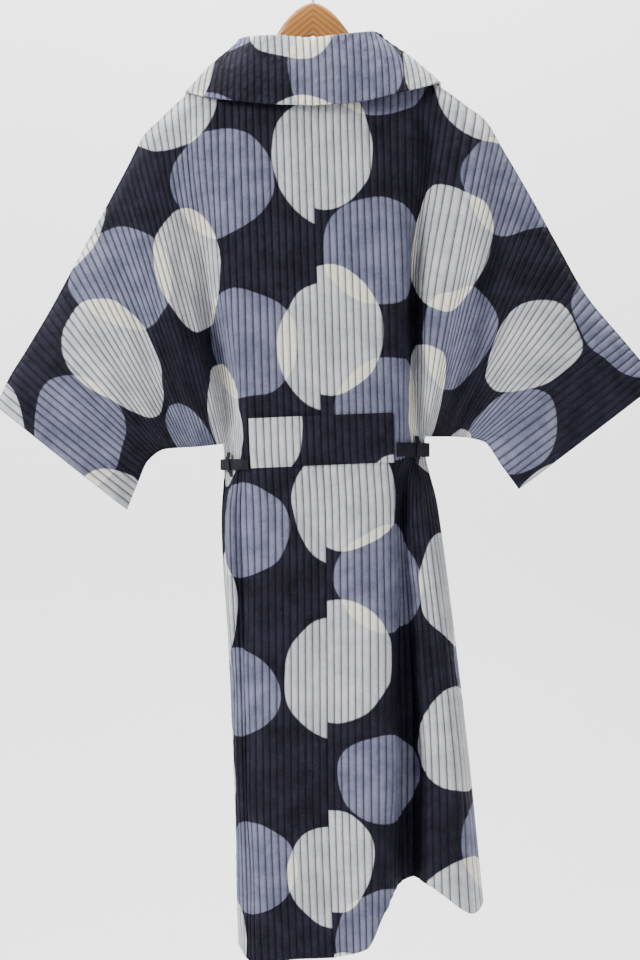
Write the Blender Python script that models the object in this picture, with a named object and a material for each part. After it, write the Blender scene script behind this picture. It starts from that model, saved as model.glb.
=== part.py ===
# Long quilted coat with cut-on sleeves, hanging with its back to the viewer on a wooden hanger.
# Metres, +Z up. The back of the coat faces -Y. The origin is where the hanger's hook bears.
import math

import bmesh
import bpy
import numpy as np
from mathutils import Matrix, Vector

for old in list(bpy.data.objects):
    bpy.data.objects.remove(old, do_unlink=True)

MM = 0.001

# Cloth and quilting
PITCH = 9.65 * MM            # one sewn channel of the quilting
CLOTH = 3.0 * MM             # padded wall between two rows of stitching
RISE = 1.2 * MM              # how far a channel stands above its stitching
GAP = 0.3 * MM               # between pieces that meet at a seam
SEAM = GAP / 2 + CLOTH / 2   # middle of a wall that meets its neighbour face to face

# Rows of the panels: 0 is the neck, shoulder and overarm edge, 1 the waist and underarm, 2 the hem
UPPER_ROWS = (0.0, 0.05, 0.25, 0.55, 0.88, 1.0)
SKIRT_ROWS = (1.0, 1.15, 1.40, 1.67, 2.0)
CUFF = 60                    # channel at the sleeve's open end
SIDE = 24                    # channel at the side seam below the sleeve
NECK = 9                     # channel at the neck end of the shoulder seam

# Lines of the quilting from neck and shoulder to waist, in millimetres.
# channel, top x, top z, x at each row, foot x, foot z, half depth at each row
BODY_LINES = {
    "right": (
        (0, -4, -158, 0, 5, 10, 12, -652, 46, 54, 57, 52, 50),
        (5, 44, -146, 48, 53, 58, 60, -652, 40, 53, 57, 52, 50),
        (7.5, 68, -138, 71, 77, 82, 84, -652, 29, 51, 57, 51, 48),
        (9, 83, -134, 86, 91, 96, 98, -652, 22, 49, 56, 50, 47),
        (11, 103, -143, 105, 110, 115, 116, -652, 20, 46, 54, 46, 44),
        (12.5, 118, -150, 120, 122, 123, 123, -651, 19, 44, 48, 36, 38),
        (14, 132, -156, 134, 127, 126, 128, -651, 19, 40, 26, 21, 29),
        (16, 151, -165, 146, 132, 131, 134, -650, 18, 32, 13, 12, 20),
        (18, 172, -176, 156, 139, 138, 139, -650, 18, 27, 12, 9, 12),
        (20, 188, -187, 170, 150, 146, 143, -650, 18, 32, 27, 18, 6),
        (22, 209, -203, 190, 166, 153, 148, -650, 17, 35, 38, 28, 4),
    ),
    "left": (
        (0, -4, -158, 0, 5, 10, 12, -652, 46, 54, 57, 52, 50),
        (5, -52, -148, -48, -43, -38, -36, -652, 40, 53, 57, 52, 50),
        (7.5, -76, -142, -73, -67, -62, -60, -653, 29, 51, 57, 51, 48),
        (9, -91, -138, -87, -82, -77, -75, -653, 22, 49, 56, 50, 47),
        (11, -110, -148, -106, -101, -96, -92, -654, 20, 46, 55, 46, 42),
        (13, -129, -159, -126, -118, -104, -98, -655, 19, 43, 50, 27, 31),
        (14.5, -144, -168, -139, -127, -108, -102, -656, 20, 40, 36, 16, 23),
        (16, -158, -177, -152, -135, -113, -106, -657, 19, 36, 22, 11, 16),
        (18, -174, -189, -165, -143, -119, -110, -658, 18, 27, 14, 10, 10),
        (20, -192, -205, -178, -151, -125, -114, -659, 18, 26, 18, 14, 6),
        (22, -210, -223, -190, -160, -130, -118, -660, 17, 30, 28, 22, 4),
    ),
}

# Lines of the quilting across the sleeve, straight from overarm to underarm.
# channel, top x, top z, foot x, foot z, half depth at each row
SLEEVE_LINES = {
    "right": (
        (24, 232, -220, 152, -650, 17, 36, 42, 33),
        (28, 258, -262, 160, -650, 17, 35, 42, 32),
        (34, 296, -327, 172, -650, 16, 33, 38, 28),
        (40, 332, -392, 187, -650, 15, 31, 35, 24),
        (46, 369, -457, 206, -651, 14, 29, 32, 22),
        (52, 417, -515, 232, -657, 13, 27, 29, 20),
        (56, 443, -546, 257, -691, 12, 25, 27, 18),
        (60, 466, -578, 279, -721, 12, 23, 26, 17),
    ),
    "left": (
        (24, -227, -239, -122, -660, 17, 34, 36, 28),
        (28, -250, -282, -140, -662, 17, 35, 40, 30),
        (34, -284, -346, -160, -664, 16, 33, 38, 28),
        (40, -319, -410, -180, -665, 15, 31, 35, 24),
        (46, -354, -475, -201, -667, 14, 29, 32, 22),
        (52, -391, -537, -224, -683, 13, 27, 29, 20),
        (56, -412, -571, -238, -714, 12, 25, 27, 18),
        (60, -429, -608, -252, -749, 12, 23, 26, 17),
    ),
}

# The skirt's folds. channel, x at hip, mid, low and hem, half depth at the same, hem z
SKIRT_LINES = {
    "right": (
        (0, 17, 19, 20, 28, 52, 60, 74, 88, -1345),
        (5, 65, 67, 68, 72, 53, 62, 78, 92, -1333),
        (8, 94, 96, 97, 95, 50, 59, 75, 88, -1285),
        (9.5, 106, 107, 107, 105, 44, 48, 60, 72, -1265),
        (12, 113, 115, 118, 119, 29, 22, 24, 30, -1248),
        (14, 121, 130, 137, 137, 24, 16, 17, 22, -1243),
        (16.5, 132, 143, 154, 158, 32, 42, 56, 64, -1253),
        (19, 146, 163, 178, 184, 33, 46, 60, 66, -1272),
        (21.5, 159, 180, 199, 214, 20, 29, 40, 48, -1291),
        (23, 165, 185, 205, 225, 8, 12, 15, 18, -1286),
        (24, 169, 190, 210, 231, 0, 0, 0, 0, -1281),
    ),
    "left": (
        (0, 17, 19, 20, 28, 52, 60, 74, 88, -1345),
        (5, -31, -29, -28, -20, 53, 62, 78, 92, -1346),
        (9, -69, -67, -65, -57, 51, 60, 76, 90, -1352),
        (11, -88, -85, -82, -74, 46, 54, 70, 82, -1354),
        (12.3, -98, -93, -88, -81, 34, 44, 62, 76, -1352),
        (14, -111, -104, -97, -90, 38, 46, 60, 70, -1344),
        (16, -115, -109, -102, -96, 28, 36, 47, 55, -1336),
        (19, -118, -111, -103, -98, 15, 20, 27, 33, -1332),
        (22, -120, -112, -104, -98, 6, 7, 9, 11, -1330),
        (24, -124, -115, -107, -101, 0, 0, 0, 0, -1330),
    ),
}

# Top edge beside the neck. channel, back half depth, front z, front half depth
NECK_EDGE = ((0, 40, -330, 52), (5, 34, -228, 46), (9, 0, -134, 0))


def slopes(nodes, values):
    """Slopes of a smooth curve through the values that never overshoots them."""
    step = np.diff(nodes)
    rate = np.diff(values) / step
    out = np.zeros(len(nodes))
    out[0], out[-1] = rate[0], rate[-1]
    for k in range(1, len(nodes) - 1):
        if rate[k - 1] * rate[k] > 0:
            first = 2 * step[k] + step[k - 1]
            second = step[k] + 2 * step[k - 1]
            out[k] = (first + second) / (first / rate[k - 1] + second / rate[k])
    return out


def curve(nodes, values, at, start=None):
    """The smooth curve's value at one place; start sets its first slope."""
    nodes, values = np.asarray(nodes, float), np.asarray(values, float)
    grade = slopes(nodes, values)
    if start is not None:
        grade[0] = start
    k = int(np.clip(np.searchsorted(nodes, at, side="right") - 1, 0, len(nodes) - 2))
    width = nodes[k + 1] - nodes[k]
    t = (at - nodes[k]) / width
    square, cube = t * t, t * t * t
    return ((2 * cube - 3 * square + 1) * values[k] + (cube - 2 * square + t) * width * grade[k]
            + (3 * square - 2 * cube) * values[k + 1] + (cube - square) * width * grade[k + 1])


def upper_table(side, face):
    """Channels and, for each, x, z and half depth at the six upper rows, in millimetres."""
    rows = []
    for channel, top_x, top_z, x25, x55, x88, foot_x, foot_z, *depth in BODY_LINES[side]:
        top_depth = 0
        if channel <= NECK:
            places = [row[0] for row in NECK_EDGE]
            top_depth = curve(places, [row[1] for row in NECK_EDGE], channel)
            if face == "front":
                top_depth = curve(places, [row[3] for row in NECK_EDGE], channel)
                if channel < NECK:
                    top_z = curve(places, [row[2] for row in NECK_EDGE], channel)
        x05 = top_x + (x25 - top_x) * 0.2
        z = [top_z + (foot_z - top_z) * row for row in UPPER_ROWS]
        rows.append((channel, (top_x, x05, x25, x55, x88, foot_x), z, (top_depth, *depth)))
    for channel, top_x, top_z, foot_x, foot_z, *depth in SLEEVE_LINES[side]:
        x = [top_x + (foot_x - top_x) * row for row in UPPER_ROWS]
        z = [top_z + (foot_z - top_z) * row for row in UPPER_ROWS]
        rows.append((channel, x, z, (0, *depth, 0)))
    return rows


def row_values(rows, channel):
    """x, z and half depth at every row of one channel line, in metres."""
    places = [row[0] for row in rows]
    out = []
    for item in (1, 2, 3):
        out.append([curve(places, [row[item][k] for row in rows], channel) * MM
                    for k in range(len(rows[0][item]))])
    return out


def skirt_table(side):
    rows = []
    for channel, x1, x2, x3, x4, d1, d2, d3, d4, hem in SKIRT_LINES[side]:
        rows.append((channel, (x1, x2, x3, x4), (hem,), (d1, d2, d3, d4)))
    return rows


TABLES = {(side, face): upper_table(side, face)
          for side in ("left", "right") for face in ("back", "front")}
SKIRTS = {side: skirt_table(side) for side in ("left", "right")}
LINES = {}


def line(side, face, channel):
    """One channel's line from its top edge to its foot, and on to the hem beside the body."""
    key = (side, face, round(channel, 4))
    if key not in LINES:
        x, z, depth = row_values(TABLES[side, face], channel)
        lower = None
        if channel <= SIDE:
            skirt_x, hem, skirt_depth = row_values(SKIRTS[side], channel)
            lower = ([x[-1], *skirt_x], (z[-1], hem[0]), [depth[-1], *skirt_depth])
        LINES[key] = (x, z, depth, lower)
    return LINES[key]


# Soft creases that front and back share. channel at top and foot, half width, height, from, to
CREASES = {
    "right": ((27, 33, 4, 7, 0.15, 1.0), (36, 41, 3, -6, 0.3, 1.05), (44, 49, 4, 5, 0.1, 1.0),
              (3, 6, 5, 4, 1.1, 2.2)),
    "left": ((24, 31, 4, 7, 0.2, 1.05), (33, 38, 3, -7, 0.35, 1.05), (43, 50, 4, 6, 0.1, 0.9),
             (4, 6, 5, 4, 1.1, 2.2)),
}


def crease(side, channel, row):
    """How far the shared creases push the cloth towards the viewer's side."""
    total = 0.0
    for top, foot, half, height, start, end in CREASES[side]:
        middle = top + (foot - top) * min(row, 1.0)
        across = (channel - middle) / half
        along = (row - start) / (end - start)
        if abs(across) < 1 and 0 < along < 1:
            total += height * MM * (math.cos(across * math.pi) + 1) / 2 * math.sin(along * math.pi)
    return total


def middle(side, face, channel, row):
    """A point on the middle of a panel's wall."""
    x, z, depth, lower = line(side, face, channel)
    if row <= 1.0 or lower is None:
        px = curve(UPPER_ROWS, x, row)
        pz = z[0] + (z[-1] - z[0]) * row
        deep = curve(UPPER_ROWS, depth, row)
    else:
        skirt_x, (waist_z, hem_z), skirt_depth = lower
        px = curve(SKIRT_ROWS, skirt_x, row, slopes(UPPER_ROWS, x)[-1])
        pz = waist_z + (hem_z - waist_z) * (row - 1)
        deep = curve(SKIRT_ROWS, skirt_depth, row, slopes(UPPER_ROWS, depth)[-1])
    deep = max(deep, SEAM)
    out = -1 if face == "back" else 1
    hand = -1 if side == "left" else 1
    edge = hand * GAP / 2 if channel < 0.01 else 0.0
    return np.array((px + edge, out * deep - crease(side, channel, row), pz))


def on_seam(channel, row):
    """True where the panel meets its partner face to face."""
    shoulder = row == 0 and channel >= NECK
    underarm = row == 1.0 and channel >= SIDE
    return shoulder or underarm or (row >= 1.0 and channel == SIDE)


def normal(side, face, channel, row):
    """Outward direction of the wall, square to the panel's middle."""
    out = -1 if face == "back" else 1
    hand = -1 if side == "left" else 1
    if on_seam(channel, row):
        return np.array((0.0, out, 0.0))
    last_channel = SIDE if row > 1.0 else CUFF
    last_row = 2.0 if channel <= SIDE else 1.0
    before = middle(side, face, max(channel - 0.5, 0.02), row)
    after = middle(side, face, min(channel + 0.5, last_channel), row)
    above = middle(side, face, channel, max(row - 0.03, 0.0))
    below = middle(side, face, channel, min(row + 0.03, last_row))
    across = np.array((hand, 0.0, 0.0)) if channel < 0.01 else after - before
    square = np.cross(across, below - above) * hand * out
    return square / np.linalg.norm(square)


def rise(side, face, channel, row):
    """Height of the quilting at this place: full on a channel's crown, none on its stitching."""
    if channel % 1 == 0:
        return 0.0
    wide = middle(side, face, channel + 0.5, row) - middle(side, face, channel - 0.5, row)
    return RISE * min(1.0, np.linalg.norm(wide[:2]) / PITCH)


def wall_point(side, face, channel, row, off):
    return middle(side, face, channel, row) + normal(side, face, channel, row) * off


def paint(name, colour, roughness, metallic=0.0):
    material = bpy.data.materials.new(name)
    material.use_nodes = True
    shader = material.node_tree.nodes["Principled BSDF"]
    shader.inputs["Base Color"].default_value = (*colour, 1.0)
    shader.inputs["Roughness"].default_value = roughness
    shader.inputs["Metallic"].default_value = metallic
    return material


COAT = bpy.data.collections.new("quilted_coat")
bpy.context.scene.collection.children.link(COAT)


def add_object(name, points, faces, material):
    """A closed mesh as one named object; faces as lists of point numbers."""
    mesh = bpy.data.meshes.new(name)
    mesh.from_pydata([tuple(point) for point in points], [], faces)
    shape = bmesh.new()
    shape.from_mesh(mesh)
    bmesh.ops.triangulate(shape, faces=shape.faces[:])
    bmesh.ops.recalc_face_normals(shape, faces=shape.faces[:])
    shape.to_mesh(mesh)
    shape.free()
    mesh.shade_smooth()
    mesh.set_sharp_from_angle(angle=math.radians(40))
    mesh.materials.append(material)
    item = bpy.data.objects.new(name, mesh)
    COAT.objects.link(item)
    return item


def quilted_wall(name, cells, outer, inner, material):
    """A closed wall over square cells (channel, row number).

    Its outside has a crown between every two rows of stitching and its inside is plain.
    outer(channel, row number) and inner(channel, row number) give the points.
    """
    points, faces, numbers = [], [], {}

    def number(kind, channel, row):
        key = (kind, channel, row)
        if key not in numbers:
            numbers[key] = len(points)
            points.append(outer(channel, row) if kind == "out" else inner(channel, row))
        return numbers[key]

    held = set(cells)
    for c, r in cells:
        for a, b in ((c, c + 0.5), (c + 0.5, c + 1)):
            faces.append([number("out", a, r), number("out", b, r),
                          number("out", b, r + 1), number("out", a, r + 1)])
        faces.append([number("in", c, r), number("in", c, r + 1),
                      number("in", c + 1, r + 1), number("in", c + 1, r)])
        for edge, beyond in ((r, (c, r - 1)), (r + 1, (c, r + 1))):
            if beyond not in held:
                first, last = number("in", c, edge), number("in", c + 1, edge)
                crown = number("out", c + 0.5, edge)
                rim = [[first, last, crown], [first, crown, number("out", c, edge)],
                       [last, number("out", c + 1, edge), crown]]
                faces += rim if edge == r else [face[::-1] for face in rim]
        for edge, beyond in ((c, (c - 1, r)), (c + 1, (c + 1, r))):
            if beyond not in held:
                rim = [number("out", edge, r), number("out", edge, r + 1),
                       number("in", edge, r + 1), number("in", edge, r)]
                faces.append(rim if edge == c else rim[::-1])
    return add_object(name, points, faces, material)


ROWS = UPPER_ROWS + SKIRT_ROWS[1:]
WAIST_ROW = len(UPPER_ROWS) - 1


def panel(side, face, material):
    """One of the four main pieces: half of a back or front with its cut-on sleeve."""
    cells = [(c, r) for r in range(WAIST_ROW) for c in range(CUFF)]
    cells += [(c, r) for r in range(WAIST_ROW, len(ROWS) - 1) for c in range(SIDE)]

    def outer(channel, r):
        lift = rise(side, face, channel, ROWS[r])
        return wall_point(side, face, channel, ROWS[r], CLOTH / 2 + lift)

    def inner(channel, r):
        return wall_point(side, face, channel, ROWS[r], -CLOTH / 2)

    return quilted_wall(f"{face}_{side}_with_sleeve", cells, outer, inner, material)


# Collar: a deep fold-over, from the neck seam up inside to its fold and down to its free edge.
# channel, fold's distance outward along x, y and z from the neck edge, free edge x, y, z
COLLAR_CLOTH = 2.6 * MM
COLLAR_LINES = {
    "right": (
        (0, 0, 3, 42, 0, -64, -207),
        (6, 7, 2, 40, 55, -60, -203),
        (12, 12, 0, 36, 112, -46, -189),
        (15, 10, 0, 33, 148, -27, -179),
        (17, 8, 0, 28, 171, -6, -171),
        (19, 5, 5, 24, 173, 24, -180),
        (21, 0, 9, 19, 160, 50, -204),
        (24, -6, 10, 14, 118, 66, -262),
        (28, -9, 9, 11, 60, 72, -326),
        (31, -4, 9, 10, 24, 74, -350),
    ),
    "left": (
        (0, 0, 3, 42, 0, -64, -207),
        (6, 7, 2, 40, -58, -60, -205),
        (12, 11, 0, 34, -116, -46, -198),
        (15, 9, 0, 30, -150, -27, -191),
        (17, 7, 0, 26, -171, -6, -184),
        (19, 5, 5, 23, -173, 24, -192),
        (21, 0, 9, 18, -160, 50, -214),
        (24, -6, 10, 14, -118, 66, -266),
        (28, -9, 9, 11, -60, 72, -328),
        (31, -4, 9, 10, -24, 74, -350),
    ),
}
COLLAR_END = 31
COLLAR_ROWS = 5
SHOULDER_CHANNEL = 17        # collar channel over the shoulder seam
SHOULDER_TURN = 1.6          # collar channels each side of it where the foot stands straight up
FRONT_NECK_END = 1.8         # panel channel where each end of the collar stops
FOOT_CLEAR = 1.0 * MM        # from the panels' neck edge to the collar's foot, at the centre back
FOOT_CLEAR_ROUND = 3.2 * MM  # the same where the neck edge turns over the shoulder
FOLD_HALF = 4.5 * MM         # half the fold's thickness, between the middles of its two walls


def neck_place(channel):
    """The panel and the panel's channel beside one channel of the collar."""
    if channel <= SHOULDER_CHANNEL:
        return "back", max(NECK * channel / SHOULDER_CHANNEL, 0.001)
    rest = (COLLAR_END - channel) / (COLLAR_END - SHOULDER_CHANNEL)
    return "front", FRONT_NECK_END + (NECK - FRONT_NECK_END) * rest


def neck_edge(side, channel):
    """The panels' neck edge beside one channel of the collar."""
    face, place = neck_place(channel)
    edge = middle(side, face, place, 0.0)
    if channel == SHOULDER_CHANNEL:
        edge[1] = 0.0
    return edge


def neck_seam(side, channel):
    """The collar's foot, just off the panels' neck edge and in line with them."""
    edge = neck_edge(side, channel)
    run = neck_edge(side, min(channel + 1, COLLAR_END)) - neck_edge(side, max(channel - 1, 0))
    run /= np.linalg.norm(run)
    face, place = neck_place(channel)
    away = edge - middle(side, face, place, 0.03)
    away -= run * (away @ run)
    if abs(channel - SHOULDER_CHANNEL) < SHOULDER_TURN:
        hand = -1 if side == "left" else 1
        lean = min(1.0, max(0.0, (channel - SHOULDER_CHANNEL) * 2))
        away = np.array((-hand * lean, 0.0, 1.0))
    clear = curve((0, 10, 17, 18, 20, 24, COLLAR_END),
                  (FOOT_CLEAR, FOOT_CLEAR, FOOT_CLEAR_ROUND, 2 * FOOT_CLEAR_ROUND,
                   1.5 * FOOT_CLEAR_ROUND, FOOT_CLEAR_ROUND, 2 * FOOT_CLEAR), channel)
    return edge + away / np.linalg.norm(away) * clear


def collar_middle(side, channel, row):
    """A point on the middle of the collar's wall, row 0 at the neck seam and 5 at the edge."""
    table = COLLAR_LINES[side]
    places = [entry[0] for entry in table]
    hand = -1 if side == "left" else 1
    lift = [curve(places, [entry[k] for entry in table], channel) * MM for k in (1, 2, 3)]
    edge = np.array([curve(places, [entry[k] for entry in table], channel) for k in (4, 5, 6)]) * MM
    fold = neck_edge(side, channel) + np.array((hand * lift[0], lift[1], lift[2]))
    foot = neck_seam(side, channel)
    run = neck_edge(side, min(channel + 2, COLLAR_END)) - neck_edge(side, max(channel - 2, 0))
    run *= min(1.0, max(0.0, (channel - SHOULDER_CHANNEL) / 5)) / np.linalg.norm(run)
    out = edge - fold
    out[2] = 0.0
    out -= run * (out @ run)
    out /= max(np.linalg.norm(out), 1e-6)
    down = np.array((0.0, 0.0, -1.0))
    down -= run * (down @ run)
    down *= 7.0 * MM / np.linalg.norm(down)
    stand_top = fold - out * FOLD_HALF + down
    fall_top = fold + out * FOLD_HALF + down * 0.8
    belly = (fall_top + edge) / 2 + out * 4 * MM
    stations = (foot, stand_top, fold, fall_top, belly, edge)
    return np.array([curve(range(6), [point[k] for point in stations], row) for k in range(3)])


def collar_normal(side, channel, row):
    before = collar_middle(side, max(channel - 0.5, 0.0), row)
    after = collar_middle(side, min(channel + 0.5, COLLAR_END), row)
    above = collar_middle(side, channel, max(row - 0.1, 0.0))
    below = collar_middle(side, channel, min(row + 0.1, COLLAR_ROWS))
    across = after - before
    if channel == 0:
        across[1:] = 0.0
    square = np.cross(across, below - above) * (-1 if side == "right" else 1)
    return square / np.linalg.norm(square)


def collar(material):
    """The whole collar in one wall; channels count from the centre back to both front ends."""
    cells = [(c, r) for c in range(-COLLAR_END, COLLAR_END) for r in range(COLLAR_ROWS)]

    def place(channel, r, off):
        side = "left" if channel < 0 else "right"
        channel = abs(channel)
        return collar_middle(side, channel, r) + collar_normal(side, channel, r) * off

    def outer(channel, r):
        crown = RISE if channel % 1 and r >= 2 else 0.0
        return place(channel, r, COLLAR_CLOTH / 2 + crown)

    def inner(channel, r):
        return place(channel, r, -COLLAR_CLOTH / 2)

    return quilted_wall("collar", cells, outer, inner, material)


def row_at(side, face, channel, height):
    """The row number of a height on one channel line, counted over the solid's own rows."""
    levels = [middle(side, face, channel, row)[2] for row in ROWS]
    for r in range(len(ROWS) - 1):
        if levels[r + 1] <= height:
            return r + (levels[r] - height) / (levels[r] - levels[r + 1])
    return len(ROWS) - 1.0


def laid_point(side, face, channel, height, off):
    """A point over the panel's outside, moved out from the panel's own points."""
    place = row_at(side, face, channel, height)
    r = min(int(place), len(ROWS) - 2)
    upper = wall_point(side, face, channel, ROWS[r], off)
    lower = wall_point(side, face, channel, ROWS[r + 1], off)
    return upper + (lower - upper) * (place - r)


LAID_GAP = 0.8 * MM          # a faceted piece laid on a faceted panel stays this far off
OVER_CROWNS = CLOTH / 2 + RISE + LAID_GAP

# Back waist band, sewn flat on the back with its own upright quilting
BAND_CLOTH = 2.4 * MM
BAND_LEFT_END, BAND_RIGHT_END = -10, 10
BAND_TOP_LEFT, BAND_TOP_RIGHT = -626 * MM, -618 * MM
BAND_HEIGHT = 67 * MM
BAND_ROWS = 3


def waist_band(material):
    cells = [(c, r) for c in range(BAND_LEFT_END, BAND_RIGHT_END) for r in range(BAND_ROWS)]

    def place(channel, r, off):
        side = "left" if channel < 0 else "right"
        along = (channel - BAND_LEFT_END) / (BAND_RIGHT_END - BAND_LEFT_END)
        top = BAND_TOP_LEFT + (BAND_TOP_RIGHT - BAND_TOP_LEFT) * along
        height = top - BAND_HEIGHT * r / BAND_ROWS
        return laid_point(side, "back", abs(channel), height, OVER_CROWNS + off)

    def outer(channel, r):
        return place(channel, r, BAND_CLOTH + (RISE if channel % 1 else 0.0))

    def inner(channel, r):
        return place(channel, r, 0.0)

    return quilted_wall("back_waist_band", cells, outer, inner, material)


def loft(name, rings, material):
    """A closed solid through rings of the same number of points."""
    count = len(rings[0])
    points = [point for ring in rings for point in ring]
    faces = [list(range(count))[::-1], [len(points) - count + k for k in range(count)]]
    for r in range(len(rings) - 1):
        for k in range(count):
            after = (k + 1) % count
            faces.append([r * count + k, r * count + after,
                          (r + 1) * count + after, (r + 1) * count + k])
    return add_object(name, points, faces, material)


def strap_ring(centre, outward, upward, thickness, width):
    return [centre + outward * thickness * a / 2 + upward * width * b / 2
            for a, b in ((1, 1), (1, -1), (-1, -1), (-1, 1))]


def taut(points, hand):
    """The points that a tight belt round their outer side touches, from back to front."""
    chain = []
    for point in sorted(points, key=lambda p: p[1]):
        while len(chain) > 1:
            a, b = chain[-1] - chain[-2], point - chain[-1]
            if (a[0] * b[1] - a[1] * b[0]) * hand > 0:
                break
            chain.pop()
        chain.append(point)
    return chain


# Narrow belt: from each end of the band round the side to a knot in front
BELT = {
    "left": {"start": 10.6, "z": -688 * MM, "width": 15 * MM},
    "right": {"start": 10.7, "z": -668 * MM, "width": 19 * MM},
}
BELT_FRONT_Z = -680 * MM
BELT_THICKNESS = 2.2 * MM
BELT_CLEAR = 0.2 * MM
BELT_STEP = 12 * MM
KNOT_HALF = 17 * MM
KNOT_X, KNOT_Z = 14 * MM, -680 * MM
FRONT_LAST = 10              # front channel up to which the belt's way is followed closely
NEAR_KNOT = 12 * MM          # the last free length of belt beside the knot is straight
LEVEL_FROM = 0.4             # share of the belt's way where it starts towards the knot's height


def belt_path(side):
    """The belt's middle line as a list of points, back to front."""
    spec = BELT[side]
    half = spec["width"] / 2
    channels = np.arange(spec["start"], SIDE + 0.1, 0.7)
    rounds = [("back", c) for c in channels] + [("front", c) for c in channels[::-1]]
    rounds += [("front", c) for c in np.arange(FRONT_LAST, 1.5, -1.0)]
    off = OVER_CROWNS + BELT_THICKNESS / 2 + BELT_CLEAR
    candidates = []
    for face, channel in rounds:
        for height in (spec["z"] + half, spec["z"] - half):
            point = laid_point(side, face, channel, height, off)
            candidates.append(np.array((point[0], point[1])))
            if channel > SIDE - 0.4:
                seam = laid_point(side, face, SIDE, height, 0.0)
                candidates.append(np.array((seam[0] + math.copysign(off, seam[0]), 0.0)))
    hand = -1 if side == "left" else 1
    chain = taut(candidates, hand)
    stop = KNOT_X + hand * (KNOT_HALF + GAP)
    kept = [p for p in chain if p[1] < 0.03 or hand * (p[0] - stop) > NEAR_KNOT]
    kept.append(np.array((stop, chain[-1][1])))
    corners = [kept[0]]
    for point in kept[1:]:
        if np.linalg.norm(point - corners[-1]) > BELT_STEP / 2:
            corners.append(point)
    flat = [corners[0]]
    for a, b in zip(corners, corners[1:]):
        count = math.ceil(np.linalg.norm(b - a) / BELT_STEP)
        flat += [a + (b - a) * k / count for k in range(1, count + 1)]
    path = []
    for k, (x, y) in enumerate(flat):
        way = k / (len(flat) - 1)
        share = min(1.0, max(0.0, (way - LEVEL_FROM) / (1 - LEVEL_FROM)))
        path.append(np.array((x, y, spec["z"] + (BELT_FRONT_Z - spec["z"]) * share)))
    return path


def belt_frames(path):
    """Outward directions along a belt's path."""
    out = []
    for k in range(len(path)):
        run = path[min(k + 1, len(path) - 1)] - path[max(k - 1, 0)]
        square = np.array((run[1], -run[0], 0.0))
        square /= np.linalg.norm(square)
        out.append(square if square @ np.array((path[k][0], path[k][1], 0.0)) > 0 else -square)
    return out


def belt(side, material):
    path = belt_path(side)
    up = np.array((0.0, 0.0, 1.0))
    width = BELT[side]["width"]
    rings = [strap_ring(point, out, up, BELT_THICKNESS, width)
             for point, out in zip(path, belt_frames(path))]
    return loft(f"belt_{side}", rings, material)


# Belt loops at the sides
LOOP_WIDTH = 9 * MM
LOOP_THICKNESS = 1.8 * MM
LOOP_REACH = 8 * MM          # above and below the belt
LOOP_STEP = 2                # point of the belt's path under its loop


def belt_loop(side, material):
    path = belt_path(side)
    point, out = path[LOOP_STEP], belt_frames(path)[LOOP_STEP]
    run = np.cross(out, np.array((0.0, 0.0, 1.0)))
    half = BELT[side]["width"] / 2
    proud = (BELT_THICKNESS + LOOP_THICKNESS) / 2 + 2 * GAP
    shape = ((half + LOOP_REACH, -0.3 * MM), (half + 1.6 * MM, proud), (0.0, proud + 0.4 * MM),
             (-half - 1.6 * MM, proud), (-half - LOOP_REACH, -0.3 * MM))
    rings = []
    for n, (height, off) in enumerate(shape):
        centre = point + out * off + np.array((0.0, 0.0, height))
        before = shape[max(n - 1, 0)]
        after = shape[min(n + 1, len(shape) - 1)]
        along = out * (after[1] - before[1]) + np.array((0.0, 0.0, after[0] - before[0]))
        square = np.cross(along, run)
        square /= np.linalg.norm(square)
        rings.append(strap_ring(centre, square, run, LOOP_THICKNESS, LOOP_WIDTH))
    return loft(f"belt_loop_{side}", rings, material)


# Knot of the belt in front, and its two hanging ends
KNOT_DEEP, KNOT_TALL = 10 * MM, 14 * MM     # half sizes out from the coat and upward
KNOT_OUT = 8.8 * MM                         # its middle, out from the cloth's crowns


def belt_knot(material):
    front = laid_point("right", "front", 1.0, KNOT_Z, OVER_CROWNS)[1]
    mesh = bpy.data.meshes.new("belt_knot")
    shape = bmesh.new()
    bmesh.ops.create_uvsphere(shape, u_segments=12, v_segments=8, radius=1.0)
    turn = Matrix.Translation(Vector((KNOT_X, front + KNOT_OUT, KNOT_Z)))
    size = Matrix.Diagonal(Vector((KNOT_HALF, KNOT_DEEP, KNOT_TALL, 1.0)))
    bmesh.ops.transform(shape, matrix=turn @ size, verts=shape.verts)
    shape.to_mesh(mesh)
    shape.free()
    mesh.shade_smooth()
    mesh.materials.append(material)
    item = bpy.data.objects.new("belt_knot", mesh)
    COAT.objects.link(item)
    return item


BELT_ENDS = {"left": (2.2, 4.2, 150 * MM), "right": (1.4, 2.6, 175 * MM)}
BELT_END_STEPS = 5
BELT_END_TOP = KNOT_Z - KNOT_TALL - 0.5 * MM
BELT_END_WIDTH = 17 * MM


def belt_end(side, material):
    """A hanging end of the belt, laid on the front panel."""
    start, stop, drop = BELT_ENDS[side]
    rings = []
    for k in range(BELT_END_STEPS + 1):
        share = k / BELT_END_STEPS
        channel = start + (stop - start) * share
        height = BELT_END_TOP - drop * share
        off = OVER_CROWNS + BELT_THICKNESS / 2
        point = laid_point(side, "front", channel, height, off)
        rings.append(strap_ring(point, np.array((0.0, 1.0, 0.0)), np.array((1.0, 0.0, 0.0)),
                                BELT_THICKNESS, BELT_END_WIDTH))
    return loft(f"belt_end_{side}", rings, material)


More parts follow.
